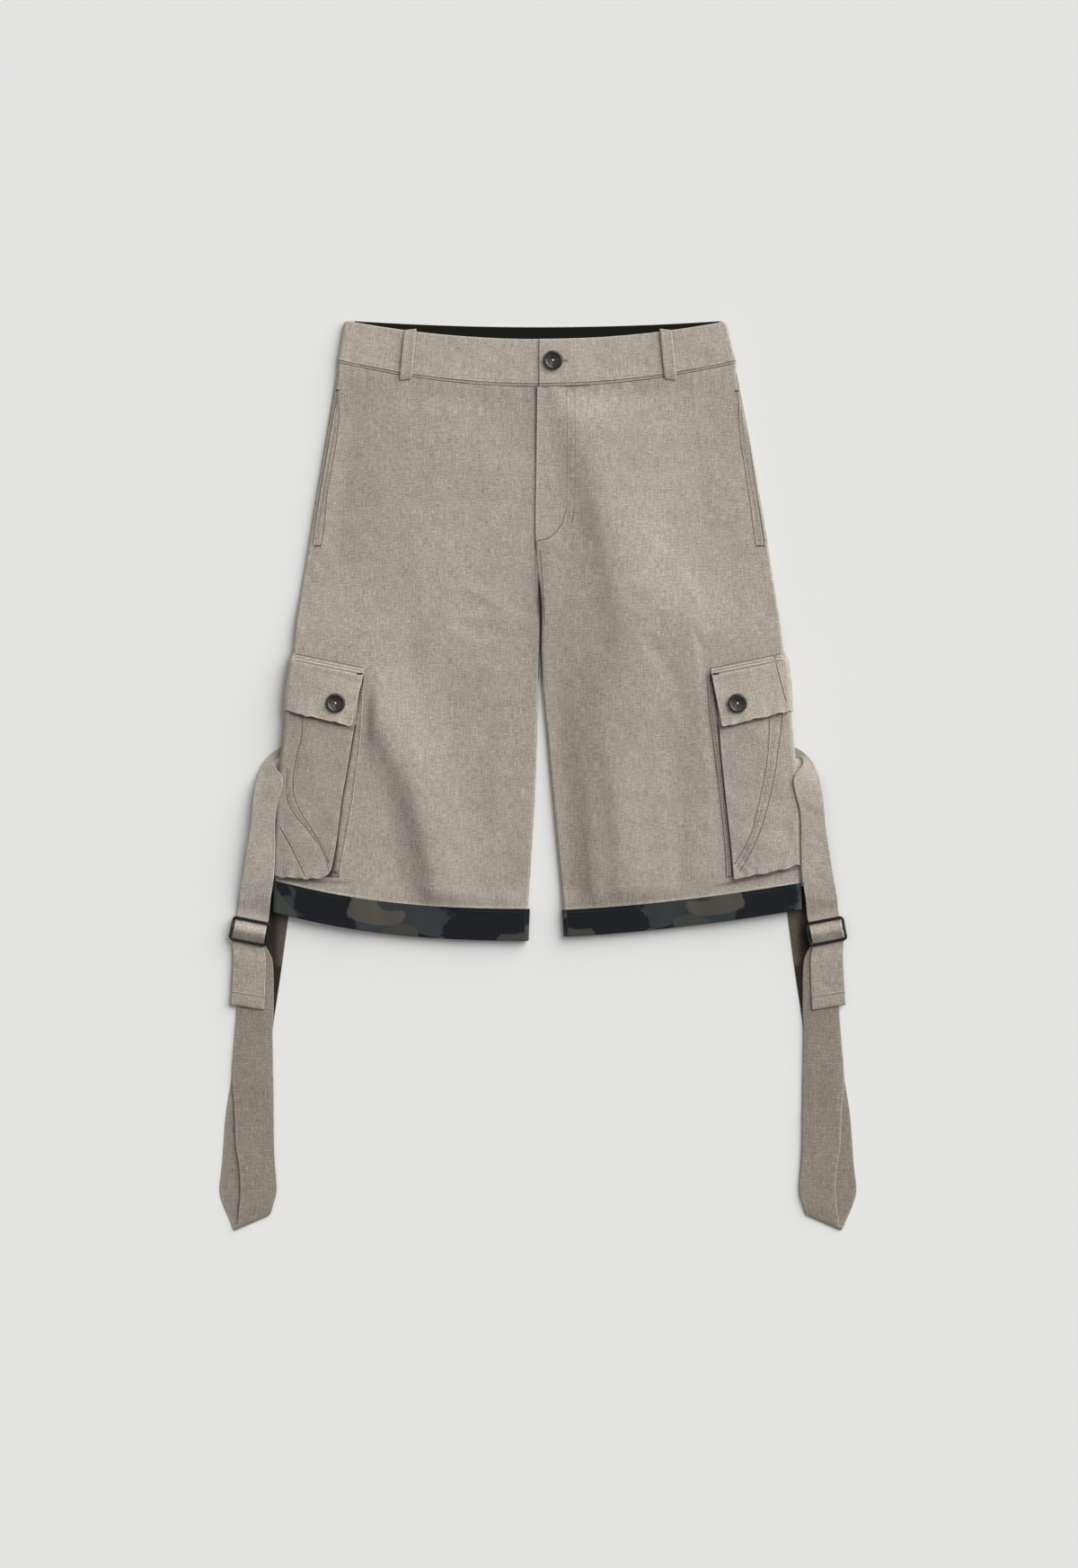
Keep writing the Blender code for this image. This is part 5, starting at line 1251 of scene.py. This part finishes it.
def in_buckle(places):
    """Sections through the buckle, from distances below its middle and heights, turned by its tilt."""
    bar = np.array([np.cos(BUCKLE_TILT), np.sin(BUCKLE_TILT)])
    rows = []
    for along, z in places:
        middle = np.array([BUCKLE_U, BUCKLE_Y]) + np.array([bar[1], -bar[0]]) * along
        outer, inner = middle + bar * STRAP_IN_BUCKLE / 2, middle - bar * STRAP_IN_BUCKLE / 2
        rows.append(Strap(*outer, z, *inner, z))
    return tuple(rows)


def round_bar(middle, radius, start, stop, count):
    """Places on an arc round a bar of the buckle, as distances below its middle and heights."""
    angle = np.radians(np.linspace(start, stop, count))
    return [(middle + radius * np.cos(a), BUCKLE_Z + radius * np.sin(a)) for a in angle]


def drawn_out(lines, step):
    """Sections joined to a smooth grid: a curve through them, then twice eased over its neighbours."""
    rows, cols = lines.shape[:2]
    grid = curve_through(lines.reshape(rows, cols * 3), step * np.sqrt(cols)).reshape(-1, cols, 3)
    for _ in range(2):
        grid[1:-1] = 0.5 * grid[1:-1] + 0.25 * (grid[:-2] + grid[2:])
    return grid


def moved_out(grid, distance):
    """A grid moved along its own normals, which are the cross product of its rows and columns."""
    normal = np.cross(np.gradient(grid, axis=0), np.gradient(grid, axis=1))
    return grid + normal / np.linalg.norm(normal, axis=2, keepdims=True) * distance


enamel = Look("black enamel", Roughness=0.4, Specular_IOR_Level=0.35, Coat_Weight=0.15, Coat_Roughness=0.2)
chips = enamel.noise(enamel.place(), 900.0, 3.0, 0.7)
enamel.finish(Base_Color=enamel.mix(enamel.between(chips, 0.66, 0.74), (0.0035, 0.004, 0.0045),
                                    (0.05, 0.05, 0.048)),
              Roughness=enamel.between(chips, 0.3, 0.7, 0.26, 0.5), Normal=enamel.bump(chips, 0.05 * MM))

webbing = linen("strap cloth", tone=0.96)
hanging = linen("long strap cloth", tone=(0.66, 0.638, 0.618))
ACROSS = shared(STRAP_WIDTH, 2.0, TURNED_RIM)
from_edge = np.minimum(ACROSS, 1.0 - ACROSS)[None, :] * STRAP_WIDTH
strap_rim, mid_swell = rounded(from_edge, 0.55), np.sin(np.pi * ACROSS)
lean = np.degrees(np.arcsin((UNDER_BAR + OVER_HOOK) / BAR))
weave = (round_bar(-BAR, UNDER_BAR, -90.0, -90.0 + lean, 4)
         + round_bar(0.0, OVER_HOOK, 180.0 - lean, lean, 9)
         + round_bar(BAR, UNDER_BAR, -90.0 - lean, -90.0, 4))
hook = round_bar(0.0, WIRE + GAP, -300.0, -82.0, 12) + [(BAR - 2.0, 3.62)]


def strap(node, side, grid, outwards, look, **kept):
    """A strap from the grid it is laid on: moved out along its normals, with its threads along it."""
    return surface(node, moved_out(grid, outwards[..., None]), side, look, up=False,
                   grain=(ACROSS[None, :] * STRAP_WIDTH, runs(grid)[1]), **kept)


for side, name in SIDES:
    grid = drawn_out(np.concatenate([
        sections(UPPER_STRAP[:4]), sections(UPPER_STRAP[4:], side),
        sections(in_buckle([(-BAR - 8.0, 2.9)] + weave)), sections(STRAP_END)]), 1.6)
    down = runs(grid)[1]
    from_end = down - down[-1]
    upwards = np.sign((moved_out(grid, 1.0) - grid)[..., 2].mean())
    swell = 0.3 * rumple(grid[..., 0], grid[..., 1], 12.0, 60.0, 51 + side) * mid_swell
    hem = 0.55 * smooth((13.0 - from_end) / 1.5)
    # Painted light and shade: the right strap paler away from its free end, and both straps darker close to
    # that end; edges and end pale from wear and painted highlight.
    pale = 0.4 * (side == RIGHT) * smooth((from_end - 70.0) / 20.0)
    worn = (0.6 * fading(from_edge, 0.6) + 0.8 * fading(from_end, 0.8) + pale
            - 0.35 * smooth((52.0 - from_end) / 12.0))
    cloth = strap("strap_upper_" + name, side, grid,
                  upwards * (STRAP_WALL - strap_rim + swell + hem - rounded(from_end, 0.6)), webbing,
                  seams=close_to(from_end - 12.0), edge=worn)

    grid = drawn_out(sections(in_buckle(hook) + LOWER_FRONT + (STRAP_FOLD,) + LOWER_BACK), 1.8)
    u, y, down = grid[..., 0], grid[..., 1], runs(grid)[1]
    in_front = (down[:, 0] < -HANGS_FROM) & (down[:, 0] > -HANGS_TO)
    upwards = np.sign((moved_out(grid, 1.0) - grid)[in_front][..., 2].mean())
    before_fold = np.arange(len(grid))[:, None] < in_front.nonzero()[0][-1]
    calm = within(y, -430.0, 20.0, -185.0, 20.0) * before_fold
    swell = 0.25 * rumple(u, y, 14.0, 70.0, 61 + side) * mid_swell
    pressed = 0.5 * smooth(1.0 - from_edge / 6.0)
    # Edges pale from wear, and a stronger painted highlight along the strap's outer edge.
    worn = 0.6 * fading(from_edge, 0.6) + 1.2 * fading(ACROSS * STRAP_WIDTH, 1.0)
    # Painted shade on the part that goes back up beneath the leg, lighter near its inner edge above the
    # notch.
    past_fold = smooth((down[0, 0] - down - 262.0) / 4.0) * smooth((y + 262.0) / 40.0)
    root = past_fold * (1.0 - 0.32 * smooth((256.0 - u) / 8.0) * smooth((y + 186.0) / 5.0))
    cloth = strap("strap_lower_" + name, side, grid, upwards * (calm * (swell - pressed) - strap_rim),
                  hanging, edge=worn, shade=root)

    tab, share = STRAP_END[-1], np.linspace(0.04, 0.96, 12)
    tab_row = joined(tab.outer_u + (tab.inner_u - tab.outer_u) * share - 1.0,
                     tab.outer_y + (tab.inner_y - tab.outer_y) * share + 12.0)
    stitches("strap_upper_stitches_" + name, side, [tab_row], tab.outer_z + STRAP_WALL + 0.5, None,
             pitch=2.6, radius=0.3)
    edge_row = curve_through([(row.outer_u - 1.6, row.outer_y) for row in LOWER_FRONT[4:]])
    stitches("strap_lower_stitches_" + name, side, [edge_row], LOWER_FRONT[4].outer_z - 0.35, None,
             pitch=3.2, radius=0.3, fill=0.7)

    # buckle: a rounded oblong of wire, with a thinner bar across its middle
    half_w, half_h = (size / 2 - WIRE - BUCKLE_CORNER for size in (BUCKLE_WIDTH, BUCKLE_HEIGHT))
    around = np.concatenate([np.linspace(q, q + 1, 10) for q in range(4)])[:, None] * np.pi / 2
    turn = full_turn(16)[None, :]
    reach = BUCKLE_CORNER + WIRE * np.cos(turn)
    ring = joined(np.repeat([1, -1, -1, 1], 10)[:, None] * half_w + np.cos(around) * reach,
                  np.repeat([1, 1, -1, -1], 10)[:, None] * half_h + np.sin(around) * reach,
                  WIRE * np.sin(turn))
    along = np.linspace(-1.0, 1.0, 9)[:, None] * (BUCKLE_WIDTH / 2 - WIRE)
    bar = joined(along, BAR_WIRE * np.cos(turn), BAR_WIRE * np.sin(turn))
    cos, sin = np.cos(BUCKLE_TILT), np.sin(BUCKLE_TILT)
    for kind, part in (("frame", np.concatenate([ring, ring[:1]])), ("bar", bar)):
        x, y, z = part[..., 0], part[..., 1], part[..., 2]
        points = joined(side * (BUCKLE_U + x * cos - y * sin), BUCKLE_Y + x * sin + y * cos, BUCKLE_Z + z)
        rods("buckle_%s_%s" % (kind, name), points[None], enamel.material)
    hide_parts("buckle_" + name)

# ---------------------------------------------------------------- buttons
# Three dark horn buttons with a raised rim and a dish, sewn on with pale thread through two holes: one
# holds the waistband at the front and one holds each cargo flap.
BUTTON_PROFILE = (          # from the middle of its back round the rim to the middle of its dish: radius, z
    (0.3, 0.0), (4.0, 0.0), (7.4, 0.05), (8.6, 0.4), (9.2, 1.0), (9.4, 1.7), (9.15, 2.4), (8.6, 2.95),
    (7.9, 3.2), (7.2, 3.12), (6.4, 2.6), (5.4, 2.2), (4.0, 2.0), (2.6, 1.95), (1.4, 1.9), (0.3, 1.9),
)
Button = namedtuple("Button", "name side u y hole_turn")
BUTTONS = (Button("button_waist", LEFT, 14.4, 401.5, 0.15),
           Button("button_pocket_right", RIGHT, 195.4, 70.2, -0.3),
           Button("button_pocket_left", LEFT, 192.4, 70.0, 0.1))
HOLE, HOLE_RADIUS, HOLE_DEPTH = 1.35, 0.55, 1.7           # HOLE is from the button's middle to each hole's

horn = Look("dark horn", Roughness=0.4, Coat_Weight=0.25, Coat_Roughness=0.35)
where = horn.place()
layers = horn.noise(where * (60.0, 320.0, 60.0), 1.0, 4.0, 0.6, 0.8)
scuffs = horn.noise(where, 900.0, 3.0, 0.7)
horn.finish(Base_Color=horn.mix(horn.between(layers, 0.35, 0.72), (0.009, 0.0065, 0.005),
                                (0.050, 0.037, 0.030)),
            Roughness=horn.between(scuffs, 0.35, 0.7, 0.34, 0.6), Normal=horn.bump(scuffs, 0.06 * MM))
pale_thread = twisted("pale button thread", 0.65, (0.70, 0.65, 0.58), (0.95, 0.92, 0.86))

profile = curve_through(BUTTON_PROFILE, 0.22)[:, None, :]
turn = full_turn(64)[None, :]
x, y = profile[..., 0] * np.cos(turn), profile[..., 0] * np.sin(turn)
on_top = np.arange(len(profile))[:, None] > len(profile) // 2
eye = 0.35 * (1.0 - smooth((np.hypot(x, y * 0.8) - 2.2) / 1.4))
uneven = 0.06 * rumple(x, y, 3.0, 9.0, 71)
for button in BUTTONS:
    c, s = np.cos(button.hole_turn), np.sin(button.hole_turn)
    from_hole = np.hypot(x * c + y * s, np.abs(y * c - x * s) - HOLE)
    hollow = HOLE_DEPTH * (1.0 - smooth((from_hole - HOLE_RADIUS) / 0.5))
    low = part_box(button.name)[0][2] / MM
    z = low + profile[..., 1] + (uneven - hollow - eye) * on_top
    points = joined(button.side * (button.u + x), button.y + y, z)
    horn_disc = rods(button.name + "_horn", points[None, :, ::button.side], horn.material)
    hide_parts(button.name)
    run = np.linspace(-HOLE - 0.1, HOLE + 0.1, 12)
    height = low + 2.0 + 0.6 * np.cos(run / HOLE * np.pi / 2)
    strands = [thread_rods(joined(button.side * (button.u + shift * c - run * s),
                                  button.y + shift * s + run * c, height),
                           pitch=2.85, radius=0.3, fill=1.0) for shift in (-0.34, 0.0, 0.34)]
    rods(button.name + "_thread", np.concatenate(strands), pale_thread.material)

# The waist buttonhole shows beside its button: a slit bound with close stitches.
slit = np.linspace(24.6, 29.6, 13)
rows = [joined(slit, BUTTONS[0].y + offset) for offset in (-0.75, 0.0, 0.75)]
on_tab = WAIST_LIFT + LEG_THICK + BAND + GAP
stitches("buttonhole_stitches", LEFT, rows[::2], on_tab + 0.1, None, pitch=0.8, radius=0.3, fill=0.95)
stitches("buttonhole_slit", LEFT, rows[1:2], on_tab + 0.12, None, enamel, pitch=5.0, radius=0.35, fill=1.0)
